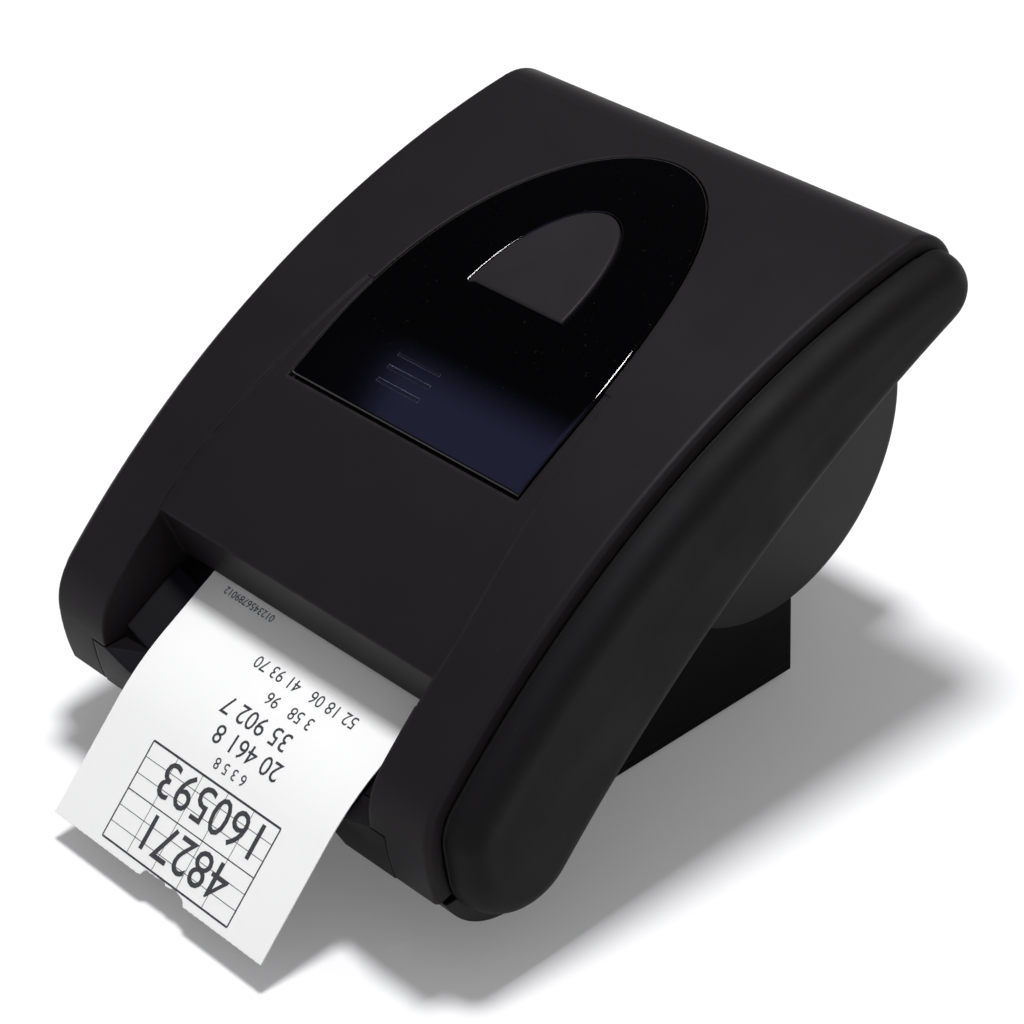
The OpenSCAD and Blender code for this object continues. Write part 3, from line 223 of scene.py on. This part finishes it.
# Dull dark grey, paler where the pads rub on the table
pad_rubber = moulded("moulded_nitrile_pads", "#1a1a1a", 0.85, 0.6, 0.05, shine=0.25, wear_and_glint=0.35)
dress(pad_rubber, "rubber_pad_1", "rubber_pad_2", "rubber_pad_3", "rubber_pad_4")


def bare_metal(name, colour, rough, line=0.12, along=(1, 1, 1), stain=0.25, round_edge=0.15):
    """Bare metal. Its roughness follows fine tool lines, line mm wide and stretched by along, and it has
    faint stains."""
    material, tree = blank(name)
    place = add(tree, "TexCoord").outputs["Object"]
    drawn = add(tree, "Mapping", i0=place, i3=along).outputs[0]
    lines = add(tree, "TexNoise", Vector=drawn, Scale=1000 / line, Detail=2.0, Roughness=0.55).outputs[0]
    cloud = add(tree, "TexNoise", Vector=place, Scale=180.0, Detail=4.0, Roughness=0.65).outputs[0]
    cloud = add(tree, "MapRange", i0=cloud, i1=0.4, i2=0.7, i3=0.0, i4=stain).outputs[0]
    base = np.array(linear(colour))
    dull = (*(base[:3] * 0.6), 1.0)
    tone = add(tree, "Mix", {"data_type": "RGBA"}, i0=cloud, i6=tuple(base), i7=dull).outputs[2]
    rough_map = add(tree, "MapRange", i0=lines, i1=0.3, i2=0.7, i3=rough - 0.08, i4=rough + 0.12).outputs[0]
    rounded = add(tree, "Bevel", {"samples": 4}, Radius=round_edge / 1000).outputs[0]
    skin = add(tree, "Bump", Strength=0.6, Distance=0.000004, Height=lines, Normal=rounded).outputs[0]
    shader = add(tree, "BsdfPrincipled", Base_Color=tone, Metallic=1.0, Roughness=rough_map, Normal=skin)
    add(tree, "OutputMaterial", Surface=shader.outputs[0])
    return material


# Bright blue-grey heads in the dark recesses
screw_zinc = bare_metal("zinc_plated_screws", "#b9bcc0", 0.35)
dress(screw_zinc, "foot_screw_1", "foot_screw_2", "foot_screw_3", "foot_screw_4")

# Electronics in the foot: a green board with a chip and a capacitor, and at the back the power inlet,
# the data socket and the rocker switch in its frame.

# Half gloss green with straw-coloured sawn edges
board_resist = moulded("glass_board_with_green_resist", "#12522f", 0.35, 0.5, 0.01, round_edge=0.1,
                       drift=0.2, wear_and_glint_colour="#8d8a5c", wear_and_glint=0.5, dust=0.0)
dress(board_resist, "main_board", "button_board")
# Even charcoal with a faint grain
chip_epoxy = moulded("moulded_epoxy_chip", "#1c1c1e", 0.5, 0.2, 0.02, round_edge=0.15, wear_and_glint=0.1)
dress(chip_epoxy, "board_chip")
# Shiny dark blue skin over the can
can_sleeve = moulded("shrunk_pvc_sleeve", "#20242c", 0.25, 2.0, 0.01, round_edge=0.4, wear_and_glint=0.1)
dress(can_sleeve, "capacitor")
# A little glossier than the case, so the sockets stand out from it
socket_nylon = moulded("black_socket_nylon", "#151516", 0.45, 0.3, 0.02, round_edge=0.25, shine=0.3)
dress(socket_nylon, "power_inlet", "switch_frame", "switch_rocker")
# Soft silver mouth of the socket
shell_steel = bare_metal("tinned_steel_shell", "#c3c5c6", 0.28, line=0.3)
dress(shell_steel, "data_socket")

# Base: the black moulding with the tongue and the dished tray under the ticket, and the flat plate
# that closes it from below.

# Satin black, darker than the lid: its own colour, darkened further as painted shade so the tray reads as a
# hollow
base_abs_shade_darkened = moulded("satin_black_abs_shade_darkened", "#0f0d0f", 0.45, 0.3, 0.02, round_edge=0.6, wear_and_glint=0.12, shine=0.1)
dress(base_abs_shade_darkened, "base_shell", "base_plate")

# Roll housing: the drum that holds the paper roll, with a flat disc at each end. It is moulded in one
# piece of dark grey ABS with thin walls, and stands on the foot behind the mechanism.

# Smooth grey a step lighter than the lid, with a soft broad gleam on its round
housing_abs = moulded("dark_grey_drum_abs", "#202021", 0.42, 0.5, 0.015, round_edge=0.8, wear_and_glint=0.15,
                      shine=0.14)
dress(housing_abs, "roll_housing")

# Side frames: two hard ABS plates that carry the lid's hinge pins. They are fixed to the base, and show
# only as a thin rim under the grips.

# Thin black line round each grip
rim_abs = moulded("hard_black_rim_abs", "#111010", 0.45, 0.3, 0.02, round_edge=0.7, wear_and_glint=0.12, shine=0.14)
dress(rim_abs, "side_frame_left", "side_frame_right")

# Grips: soft thermoplastic rubber, moulded over the outside of the side frames. Each is full and
# rounded along its edges, and its skin is matt and looks a little dusty.

# Side view in mm: the middle and the underside of the row frame, half the lid's width, the arch, the nose,
# the seam beside the lid's edge, the grip's rear end and the running gap
MIDDLE_Y = 55.08172
FOOT_HEIGHT = 18.0
LID_HALF = 50.5
ARCH_R = 192.0
NOSE_R = 13.0
SEAM = 3.6
TAIL_R = 7.0
CLEAR = 0.3


def along_dir(degrees):
    """Unit vector in the side view: (cos a, sin a) for Y and Z."""
    turn = np.radians(degrees)
    return np.stack([np.cos(turn), np.sin(turn)], -1)


def arc(centre, radius, start, end, count):
    """count + 1 points centre + radius (cos a, sin a), with a from start to end degrees."""
    return centre + radius * along_dir(np.linspace(start, end, count + 1))


def angle(vector):
    """Direction of a (y, z) vector in degrees."""
    return math.degrees(math.atan2(vector[1], vector[0]))


# The arch meets the nose in direction NOSE_TURN, the lobe is the grip's full front end, and the rear end
# touches the arch from inside
NOSE = np.array([10.9, 12.0])
NOSE_TURN = 136.0
ARCH = NOSE - (ARCH_R - NOSE_R) * along_dir(NOSE_TURN)
LOBE = np.array([14.9, 5.7])
LOBE_R = 12.8
UNDER_R = 290.0
TAIL_Y = 116.3
TAIL_RISE = math.sqrt((ARCH_R - SEAM - TAIL_R) ** 2 - (TAIL_Y - ARCH[0]) ** 2)
GRIP_TAIL = np.array([TAIL_Y, ARCH[1] + TAIL_RISE])
ARCH_STEPS, NOSE_STEPS, LOBE_STEPS, TAIL_STEPS = 72, 16, 40, 24


def grip_outline(inset):
    """Closed side view of a grip, drawn in by inset: five tangent arcs along the arch, the nose, the
    front lobe, the hollow underside and the rear end. Each arc's radius changes by the inset."""
    span = GRIP_TAIL - LOBE
    far, near, reach = math.hypot(*span), UNDER_R + LOBE_R, UNDER_R + TAIL_R
    step = (far ** 2 + near ** 2 - reach ** 2) / (2 * far)
    side = math.sqrt(near ** 2 - step ** 2)
    under = LOBE + step * span / far + side * np.array([span[1], -span[0]]) / far
    front = NOSE - LOBE
    front_turn = angle(front) + math.degrees(math.acos((LOBE_R - NOSE_R + SEAM) / math.hypot(*front)))
    top_end = angle(GRIP_TAIL - ARCH)
    return np.concatenate([
        arc(ARCH, ARCH_R - SEAM - inset, top_end, NOSE_TURN, ARCH_STEPS)[:-1],
        arc(NOSE, NOSE_R - SEAM - inset, NOSE_TURN, front_turn, NOSE_STEPS)[:-1],
        arc(LOBE, LOBE_R - inset, front_turn, angle(under - LOBE) + 360, LOBE_STEPS)[:-1],
        arc(under, UNDER_R + inset, angle(LOBE - under), angle(GRIP_TAIL - under), ARCH_STEPS)[:-1],
        arc(GRIP_TAIL, TAIL_R - inset, angle(under - GRIP_TAIL), top_end, TAIL_STEPS)[:-1],
    ])


def metres(points):
    """Row-frame metres from body millimetres: (x, y - MIDDLE_Y, z + FOOT_HEIGHT) / 1000."""
    return (np.asarray(points, float) - (0, MIDDLE_Y, -FOOT_HEIGHT)) / 1000


def closed_mesh(name, points, faces, material, slot, body, *nodes, crease=40, weld=0.0):
    """One finished piece from body millimetres: it replaces the CAD nodes and rides on their body."""
    mesh = bpy.data.meshes.new(name)
    mesh.from_pydata(metres(points), [], faces)
    if weld:
        shell = bmesh.new()
        shell.from_mesh(mesh)
        bmesh.ops.remove_doubles(shell, verts=shell.verts, dist=weld)
        bmesh.ops.recalc_face_normals(shell, faces=shell.faces)
        shell.to_mesh(mesh)
        shell.free()
    mesh.polygons.foreach_set("use_smooth", np.ones(len(mesh.polygons), bool))
    mesh.set_sharp_from_angle(angle=math.radians(crease))
    mesh.materials.append(material)
    piece = bpy.data.objects.new(name, mesh)
    bpy.context.scene.collection.objects.link(piece)
    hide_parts(*nodes)
    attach(piece, body)


def ring_faces(rings, count):
    """Quads between neighbouring closed rings of count points: (i, j), (i, j+1), (i+1, j+1), (i+1, j)."""
    row, col = np.meshgrid(np.arange(rings - 1) * count, np.arange(count), indexing="ij")
    ahead = (col + 1) % count
    quads = np.stack([row + col, row + ahead, row + count + ahead, row + count + col], -1)
    return quads.reshape(-1, 4).tolist()


def grip_rings():
    """Rings from the outline to the spine, the curve half way between the upper and the lower edge.

    Ring w is outline + w (spine - outline). Its height over the frame is
    depth (1 - (1 - min(d / rounding, 1))^power)^(1 / power) + crown w^2, with d the distance from the edge.
    """
    inset, depth, rounding, power, crown = 0.05, 6.05, 4.6, 2.1, 0.12
    edge = grip_outline(inset)
    ends = np.cumsum([ARCH_STEPS, NOSE_STEPS + LOBE_STEPS, ARCH_STEPS])
    top, _, under, _ = np.split(edge, ends)
    middle = 0.5 * (top + under[::-1])
    front_end = np.repeat(middle[-1:], NOSE_STEPS + LOBE_STEPS, 0)
    rear_end = np.repeat(middle[:1], TAIL_STEPS, 0)
    spine = np.concatenate([middle, front_end, middle[::-1], rear_end])
    span = spine - edge
    length = np.hypot(*span.T)[:, None]
    weight = np.concatenate([[0, 0.004, 0.014, 0.03], np.linspace(0.055, 1, 22)])
    away = length * weight
    rise = depth * (1 - (1 - np.minimum(away / rounding, 1)) ** power) ** (1 / power)
    rise = rise + crown * weight ** 2
    rings = np.empty((len(weight), len(edge), 3))
    rings[..., 0] = LID_HALF + CLEAR + rise.T
    rings[..., 1:] = edge + weight[:, None, None] * span
    return rings


# Soft rubber takes the light as one broad dull band, with hardly any gloss
grip_rubber = moulded("soft_touch_rubber", "#110f10", 0.6, 0.25, 0.035, round_edge=0.8, wear_and_glint=0.2,
                      wear_and_glint_colour="#2a2928", shine=0.09, sheen=0.03)
grip = grip_rings()
rows, around = grip.shape[:2]
grip_faces = ring_faces(rows, around) + [list(range(around))]
for side, name in ((1, "grip_right"), (-1, "grip_left")):
    closed_mesh(name + "_soft", grip.reshape(-1, 3) * (side, 1, 1), grip_faces, grip_rubber, "soft_grip",
                "base", name, weld=0.00001)

# Printing mechanism: a stamped steel frame with the rubber platen in bronze bushings, acetal gears and
# a small motor, and in the lid the print head on its aluminium heat sink with two springs.

# Even grey sheet with faint rolling lines
frame_zinc = bare_metal("stamped_zinc_steel", "#a9abac", 0.34, line=0.25)
dress(frame_zinc, "mechanism_frame", "motor", "head_spring_left", "head_spring_right", "tear_bar",
      "dome_switch")
# Bright with fine rings from grinding
shaft_steel = bare_metal("ground_steel", "#c4c6c9", 0.18, line=0.1, along=(1, 8, 8))
dress(shaft_steel, "platen_shaft", "idler_axle", "motor_shaft", "hinge_pin_left", "hinge_pin_right")
# Warm and porous, with a dull shine
bush_bronze = bare_metal("sintered_bronze", "#b98a4c", 0.4)
dress(bush_bronze, "bushing_left", "bushing_right", "motor_pinion")
# Pale frosted grey
sink_metal = bare_metal("cast_aluminium", "#b4b7ba", 0.42, line=0.4)
dress(sink_metal, "heat_sink")
# Milky white with crisp teeth
gear_acetal = moulded("white_acetal", "#dedacb", 0.4, 0.3, 0.01, round_edge=0.1, wear_and_glint_colour="#f2efe4", wear_and_glint=0.1)
dress(gear_acetal, "platen_gear", "idler_gear")
# Flat dark grey without gloss
platen_rubber = moulded("ground_silicone_rubber", "#2b2b2c", 0.75, 0.2, 0.02, shine=0.3)
dress(platen_rubber, "platen_rubber")
# Cream ceramic with a wet shine
head_glaze = moulded("glazed_alumina", "#d3cdbb", 0.2, 0.6, 0.005, round_edge=0.1, wear_and_glint_colour="#eae6d8")
dress(head_glaze, "print_head")

# Paper: a roll of coated thermal paper, wound on a board core. It lies loose in the housing and turns
# there as the platen pulls the paper.

# Clean white with a faint tooth and almost no gloss
roll_coat = moulded("coated_thermal_paper", "#eeeeee", 0.6, 0.12, 0.02, round_edge=0.2, drift=0.02,
                    wear_and_glint_colour="#ffffff", dust=0.0, shine=0.3)
dress(roll_coat, "paper_roll")
# Brown fibres, lighter at the cut ends
core_board = moulded("wound_brown_board", "#a3825a", 0.85, 0.4, 0.05, drift=0.15, wear_and_glint_colour="#c4a67e", dust=0.0)
dress(core_board, "roll_core")

# Ticket: the end of the same paper, still in the mouth. It runs straight out of the nip, bends down
# over the tray and ends in a fine tear edge with a small torn notch.
# Half width, the nip and the angles and lengths of the paper's way, then the roll it comes from
PAPER_HALF = 29.0
NIP = np.array([26.5, 24.4])
SLOPE, BEND, BEND_R = 29.4, 16.2, 53.0
OUT_LONG, END_LONG = 23.5, 22.5
BEND_CENTRE = NIP - OUT_LONG * along_dir(SLOPE) - BEND_R * along_dir(SLOPE + 90)
ROLL = np.array([98.4, 28.3])
ROLL_R = 26.4
WEB_SPAN = ROLL - NIP
WEB_TURN = angle(WEB_SPAN) + math.degrees(math.asin(ROLL_R / math.hypot(*WEB_SPAN)))
WEB_LONG = math.sqrt(math.hypot(*WEB_SPAN) ** 2 - ROLL_R ** 2)
# Half the sheet's thickness, the teeth and the reach of the tear, and the notch
SHEET_HALF = 0.1
TOOTH_DEEP, TOOTH_WIDE, TEAR_REACH = 0.12, 0.75, 4
NOTCH_LEFT, NOTCH_RIGHT, NOTCH_DEEP = -4.3, 7.9, 1.35


def sheet_point(x, run, lift):
    """Point of the ticket at run mm from its free end, lifted off its middle: straight, then an arc of
    radius BEND_R through BEND degrees, then straight through the nip and on to the roll."""
    bow = math.radians(BEND) * BEND_R
    turn = SLOPE + BEND - np.degrees(np.clip(run - END_LONG, 0, bow) / BEND_R)
    place = BEND_CENTRE + BEND_R * along_dir(turn + 90)
    place = place + (np.minimum(run - END_LONG, 0))[..., None] * along_dir(SLOPE + BEND)
    past = np.clip(run - END_LONG - bow, 0, OUT_LONG)
    place = place + past[..., None] * along_dir(SLOPE)
    place = place + np.maximum(run - END_LONG - bow - OUT_LONG, 0)[..., None] * along_dir(WEB_TURN)
    out = along_dir(np.where(run > END_LONG + bow + OUT_LONG, WEB_TURN, turn) + 90)
    place = place + lift * out
    return np.concatenate([np.broadcast_to(x, run.shape)[..., None], place], -1)


def ticket_mesh():
    """Thin closed sheet on a grid. Row t lies at run = bite(x) + t (1 - bite(x) / reach) within the reach of
    the tear and at run = t further in, with bite the notch and the saw-tooth of the tear edge."""
    x = np.linspace(-PAPER_HALF, PAPER_HALF, 233)
    rag = TOOTH_DEEP * np.abs((x / TOOTH_WIDE) % 2 - 1)
    ramp = np.clip(np.minimum((x - NOTCH_LEFT) / 0.7, (NOTCH_RIGHT - x) / 1.1), 0, 1)
    bite = rag + ramp * (NOTCH_DEEP + 0.25 * np.sin(x * 1.7) * (x > 0))
    bow = math.radians(BEND) * BEND_R
    length = END_LONG + bow + OUT_LONG + WEB_LONG
    t = np.concatenate([np.linspace(0, TEAR_REACH, 9), np.linspace(6, END_LONG, 7),
                        END_LONG + np.linspace(1, bow, 22),
                        END_LONG + bow + np.linspace(2, OUT_LONG, 8), [length]])[:, None]
    run = np.maximum(t, bite + np.minimum(t, TEAR_REACH) * (1 - bite / TEAR_REACH))
    face = sheet_point(x[None, :], run, SHEET_HALF)
    back = sheet_point(x[None, :], run, -SHEET_HALF)
    rows, cols = run.shape
    index = np.arange(rows * cols).reshape(rows, cols)
    a, b, c, d = index[:-1, :-1], index[:-1, 1:], index[1:, 1:], index[1:, :-1]
    top = np.stack([a, b, c, d], -1).reshape(-1, 4)
    low = top[:, ::-1] + rows * cols
    rim = np.concatenate([index[0], index[1:, -1], index[-1, -2::-1], index[-2:0:-1, 0]])
    nxt = np.roll(rim, -1)
    sides = np.stack([nxt, rim, rim + rows * cols, nxt + rows * cols], -1)
    points = np.concatenate([face.reshape(-1, 3), back.reshape(-1, 3)])
    return points, np.concatenate([top, low, sides]).tolist()


ticket_points, ticket_faces = ticket_mesh()
closed_mesh("ticket_sheet", ticket_points, ticket_faces, roll_coat, "ticket_paper", "base", "ticket",
            crease=60)


def number_row(text, size, right, run):
    """Plain numerals as flat triangles: (gx, gy) of the font goes to x = right - gx, run = run - gy, so the
    row reads from the free end, as it leaves the print head."""
    font = bpy.data.curves.new("numerals", "FONT")
    font.body = text
    font.size = size
    font.resolution_u = 3
    holder = bpy.data.objects.new("numerals", font)
    bpy.context.scene.collection.objects.link(holder)
    mesh = bpy.data.meshes.new_from_object(holder)
    flat = np.empty(len(mesh.vertices) * 3)
    mesh.vertices.foreach_get("co", flat)
    flat = flat.reshape(-1, 3)
    faces = [list(p.vertices) for p in mesh.polygons]
    bpy.data.objects.remove(holder)
    bpy.data.meshes.remove(mesh)
    bpy.data.curves.remove(font)
    return sheet_point(right - flat[:, 0], run - flat[:, 1], NUMERAL_LIFT), faces


def ruled_line(x0, run0, x1, run1, width):
    """Thin strip between two places on the sheet, in twelve steps, width mm wide."""
    t = np.linspace(0, 1, 13)
    x, run = x0 + (x1 - x0) * t, run0 + (run1 - run0) * t
    across = np.array([run1 - run0, x0 - x1]) / math.hypot(x1 - x0, run1 - run0) * width / 2
    one = sheet_point(x + across[0], run + across[1], LINE_LIFT)
    two = sheet_point(x - across[0], run - across[1], LINE_LIFT)
    i = np.arange(12)
    return np.concatenate([one, two]), np.stack([i + 1, i, i + 13, i + 14], -1).tolist()


# Thermal print: a ruled box with two rows of large numerals, and smaller rows of numerals above it. Each
# line has its place and width, and each row its numerals, height and place across and along the sheet
LINE_LIFT, NUMERAL_LIFT = 0.13, 0.14
BOX_X, BOX_RUN = (-16.3, 18.7), (1.8, 20.6)
level_lines = ((1.8, 0.35), (4.9, 0.12), (8.05, 0.12), (11.2, 0.2), (14.35, 0.12), (17.5, 0.12), (20.6, 0.4))
upright_lines = ((-16.3, 0.3), (-9.3, 0.12), (-2.3, 0.12), (4.7, 0.12), (11.7, 0.12), (18.7, 0.3))
print_parts = [ruled_line(BOX_X[0], run, BOX_X[1], run, width) for run, width in level_lines]
print_parts += [ruled_line(x, BOX_RUN[0], x, BOX_RUN[1], width) for x, width in upright_lines]
print_parts += [number_row(*row) for row in (
    ("48271", 9.6, 14.6, 10.3), ("160593", 9.6, 17.6, 19.6), ("6 3 5 8", 3.0, 6.9, 24.6),
    ("20 461 8", 5.0, 12.6, 29.6), ("35 902 7", 5.0, 10.6, 34.6), ("3 58   96", 3.4, 12.0, 38.9),
    ("52 18 06   41 93 70", 3.4, 19.4, 43.2), ("0123456789012", 2.1, -10.4, 50.4))]
counts = np.cumsum([0] + [len(points) for points, _ in print_parts])
print_points = np.concatenate([points for points, _ in print_parts])
print_faces = []
for (_, faces), start in zip(print_parts, counts):
    print_faces += [[i + int(start) for i in face] for face in faces]
thermal_black, tree = blank("thermal_print_black")
# Darkened coating of the paper: slightly uneven, as the head's dots leave it
place = add(tree, "TexCoord").outputs["Object"]
dots = add(tree, "TexNoise", Vector=place, Scale=6000.0, Detail=1.0).outputs[0]
dots = add(tree, "MapRange", i0=dots, i1=0.4, i2=0.7, i3=0.0, i4=1.0).outputs[0]
inks = {"i6": linear("#26262a"), "i7": linear("#4a4a50")}
tone = add(tree, "Mix", {"data_type": "RGBA"}, i0=dots, **inks).outputs[2]
shader = add(tree, "BsdfPrincipled", Base_Color=tone, Roughness=0.6)
add(tree, "OutputMaterial", Surface=shader.outputs[0])
print_mesh = bpy.data.meshes.new("ticket_print")
print_mesh.from_pydata(metres(print_points), [], print_faces)
print_mesh.materials.append(thermal_black)
ticket_print = bpy.data.objects.new("ticket_print", print_mesh)
bpy.context.scene.collection.objects.link(ticket_print)
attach(ticket_print, "base")

# Lid: the arched cover, moulded in black ABS with a fine grain, on a ribbed frame that hangs from
# the two hinge pins.

# Warm matt black: a fine even grain that kills the gloss, and rounded edges that catch a thin light line,
# partly a painted highlight of paler colour along them
lid_abs = moulded("matt_black_lid_abs", "#1a1719", 0.5, 0.28, 0.022, round_edge=0.9, wear_and_glint=0.15, shine=0.1)
dress(lid_abs, "lid_shell", "lid_frame")

# Control panel: an inlay of polished black acrylic, let into the lid, with its edges rolled over. Three
# light bars show in it, and the feed key has its own opening.
def arch_point(x, y, lift):
    """Point over plan place (x, y), lifted off the arch along its normal: centre + (R + lift) n, with
    n = ((y - cy) / R, sqrt(1 - ((y - cy) / R)^2))."""
    lean = (y - ARCH[0]) / ARCH_R
    out = (ARCH_R + lift) * np.stack([lean, np.sqrt(1 - lean ** 2)], -1)
    return np.concatenate([x[:, None], ARCH + out], -1)


def bullet_radius(turns, middle, half, straight, length, front, grow):
    """Distance from (0, middle) to a half ellipse on a straight base, by direction.

    Ray p = middle + r (cos t, sin t) meets x = +-half, y = front, or the half ellipse
    (x / half)^2 + ((y - y1) / length)^2 = 1.
    """
    c, s = np.cos(turns), np.sin(turns)
    half, length, base, y1 = half + grow, length + grow, front - grow - middle, front + straight - middle
    with np.errstate(divide="ignore", invalid="ignore"):
        wall = np.where(np.abs(c) > 1e-9, half / np.abs(c), np.inf)
        bottom = np.where(s < -1e-9, base / s, np.inf)
    a = (c / half) ** 2 + (s / length) ** 2
    b = s * y1 / length ** 2
    bow = (b + np.sqrt(np.maximum(b * b - a * ((y1 / length) ** 2 - 1), 0))) / a
    flat = np.minimum(wall, bottom)
    return np.where(flat * s > y1, bow, flat)


def bullet_turns(corners, count=240):
    """Even directions round a circle, with the outline's two front corners among them."""
    turns = np.linspace(0, 2 * np.pi, count, endpoint=False)
    for corner in corners:
        turns[np.argmin(np.abs(turns - corner))] = corner
    return np.sort(turns)


# Front edge, straight flanks, length of the bow and half width of the panel, then its thickness, its
# edges, the gap round the key and the key's own sizes
PANEL_Y, PANEL_STRAIGHT, PANEL_LONG, PANEL_HALF = 39.6, 10.4, 57.4, 29.5
PANEL_THICK, PANEL_PROUD = 1.6, 0.2
EDGE_ROLL, HOLE_ROLL, KEY_GAP = 0.45, 0.3, 0.3
KEY_HALF, KEY_LONG, KEY_FRONT = 11.7, 24.4, 67.2
KEY_MIDDLE = KEY_FRONT + KEY_LONG * math.cos(math.radians(19)) / 2
KEY_TURN = math.degrees(math.acos((KEY_MIDDLE - ARCH[0]) / ARCH_R))
KEY_PLACE = ARCH + ARCH_R * along_dir(KEY_TURN)
KEY_BACK = along_dir(KEY_TURN - 90)
KEY_OUT = along_dir(KEY_TURN)


def key_point(x, v, lift):
    """Point of the key's own frame on the arch: v runs back along the slope, and its height
    w = sqrt((R + lift)^2 - v^2) - R follows the arch."""
    w = np.sqrt((ARCH_R + lift) ** 2 - v ** 2) - ARCH_R
    place = KEY_PLACE + v[..., None] * KEY_BACK + w[..., None] * KEY_OUT
    return np.concatenate([np.asarray(x)[..., None], place], -1)


def panel_rings():
    """Closed rings from the panel's outer edge over its face to the key's opening and back underneath.

    Outer rings follow the panel's outline, inner ones the opening; between them the place is a blend
    (1 - w) outer + w inner. Both edges are rolled over on a quarter circle.
    """
    middle = KEY_PLACE[0]
    corner = math.atan2(PANEL_Y - middle, PANEL_HALF)
    turns = bullet_turns([corner % (2 * np.pi), (np.pi - corner) % (2 * np.pi)], 360)
    ray = np.stack([np.cos(turns), np.sin(turns)], -1)

    def outer(grow, lift):
        r = bullet_radius(turns, middle, PANEL_HALF, PANEL_STRAIGHT, PANEL_LONG, PANEL_Y, grow)
        return arch_point(r * ray[:, 0], middle + r * ray[:, 1], lift)

    def inner(grow, lift):
        r = bullet_radius(turns, 0.0, KEY_HALF, 0.0, KEY_LONG, -KEY_LONG / 2, grow)
        return key_point(r * ray[:, 0], r * ray[:, 1], np.full(len(r), lift))

    roll = np.radians(np.linspace(0, 90, 6))
    low, hole_low = PANEL_PROUD - EDGE_ROLL, PANEL_PROUD - HOLE_ROLL
    rings = [outer(0, -PANEL_THICK)]
    rings += [outer(EDGE_ROLL * (math.cos(a) - 1), low + EDGE_ROLL * math.sin(a)) for a in roll]
    start, end = rings[-1], inner(KEY_GAP + HOLE_ROLL, PANEL_PROUD)
    for w in np.linspace(0, 1, 26)[1:-1]:
        blend = (1 - w) * start + w * end
        rings.append(arch_point(blend[:, 0], blend[:, 1], PANEL_PROUD))
    for a in roll:
        rings.append(inner(KEY_GAP + HOLE_ROLL * (1 - math.sin(a)), hole_low + HOLE_ROLL * math.cos(a)))
    rings.append(inner(KEY_GAP, -PANEL_THICK))
    return np.array(rings)


# Deep black mirror: only the pane above shows in it, and a bright line along its rolled edge
panel_acrylic = moulded("polished_black_acrylic", "#010102", 0.045, 3.0, 0.001, round_edge=0.35, wear_and_glint=0.0,
                        dust=0.06, drift=0.2)
panel = panel_rings()
rows, around = panel.shape[:2]
near = np.arange(around)
beside = (near + 1) % around
last = (rows - 1) * around
underside = np.stack([last + near, last + beside, beside, near], -1).tolist()
panel_faces = [face[::-1] for face in ring_faces(rows, around) + underside]
closed_mesh("panel_inlay", panel.reshape(-1, 3), panel_faces, panel_acrylic, "panel_gloss", "lid",
            "control_panel", crease=60, weld=0.000001)
# Dark as the panel while unlit, with pale thin outlines: a painted highlight, a pale colour put along the
# edges
window_acrylic = moulded("smoked_light_window", "#0a0b12", 0.15, 0.4, 0.01, round_edge=0.15, wear_and_glint_colour="#7d86a0",
                         wear_and_glint=0.8, dust=0.0)
dress(window_acrylic, "light_bars")

# Feed key: one black ABS moulding with a stem that presses the switch and a flange that holds it in
# the panel. Its top is slightly dished and its rim rolled.
KEY_ROLL, KEY_DISH = 0.5, 0.25
STEM_R, STEM_END = 2.0, -8.0
FLANGE_LOW, FLANGE_TOP, FLANGE_OUT = -4.29, -3.09, 1.0


def key_rings():
    """Rings of the key from its stem's end up to the middle of its top: stem, hidden flange, walls, a rolled
    edge of KEY_ROLL, and the top, which follows the arch KEY_ROLL above it and sinks by
    KEY_DISH (1 - w^2)^2, with w from 0 in the middle to 1 at the edge."""
    corner = math.atan2(-KEY_LONG / 2, KEY_HALF)
    turns = bullet_turns([corner % (2 * np.pi), (np.pi - corner) % (2 * np.pi)])
    ray = np.stack([np.cos(turns), np.sin(turns)], -1)

    def flat(radius, w):
        place = KEY_PLACE + (radius * ray[:, 1])[:, None] * KEY_BACK + w * KEY_OUT
        return np.column_stack([radius * ray[:, 0], place])

    def cap(grow):
        return bullet_radius(turns, 0.0, KEY_HALF, 0.0, KEY_LONG, -KEY_LONG / 2, grow)

    rings = [flat(STEM_R, STEM_END), flat(STEM_R, FLANGE_LOW), flat(cap(FLANGE_OUT), FLANGE_LOW),
             flat(cap(FLANGE_OUT), FLANGE_TOP), flat(cap(0.0), FLANGE_TOP)]
    rim = cap(0.0)
    top = [key_point(rim * ray[:, 0], rim * ray[:, 1], np.zeros(len(rim)))]
    for a in np.radians(np.linspace(15, 90, 6)):
        r = rim - KEY_ROLL * (1 - math.cos(a))
        top.append(key_point(r * ray[:, 0], r * ray[:, 1], np.full(len(r), KEY_ROLL * math.sin(a))))
    for w in np.linspace(0.96, 0.02, 16):
        r = (rim - KEY_ROLL) * w
        lift = KEY_ROLL - KEY_DISH * (1 - w ** 2) ** 2
        top.append(key_point(r * ray[:, 0], r * ray[:, 1], np.full(len(r), lift)))
    return np.array(rings + top)


# Matt and a shade lighter than the lid, so it stands out from the mirror round it
key_abs = moulded("matt_black_key_abs", "#1f1c1f", 0.5, 0.25, 0.02, round_edge=0.2, wear_and_glint=0.15, shine=0.13)
key = key_rings()
rows, around = key.shape[:2]
last = (rows - 1) * around
key_ends = [list(range(around))[::-1], list(range(last, last + around))]
closed_mesh("feed_key", key.reshape(-1, 3), ring_faces(rows, around) + key_ends, key_abs, "button_plastic",
            "button", "feed_button", crease=45, weld=0.000001)

boxes = {"cad": cad_box, "visual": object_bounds()}
boxes = {name: [list(map(float, corner)) for corner in box] for name, box in boxes.items()}
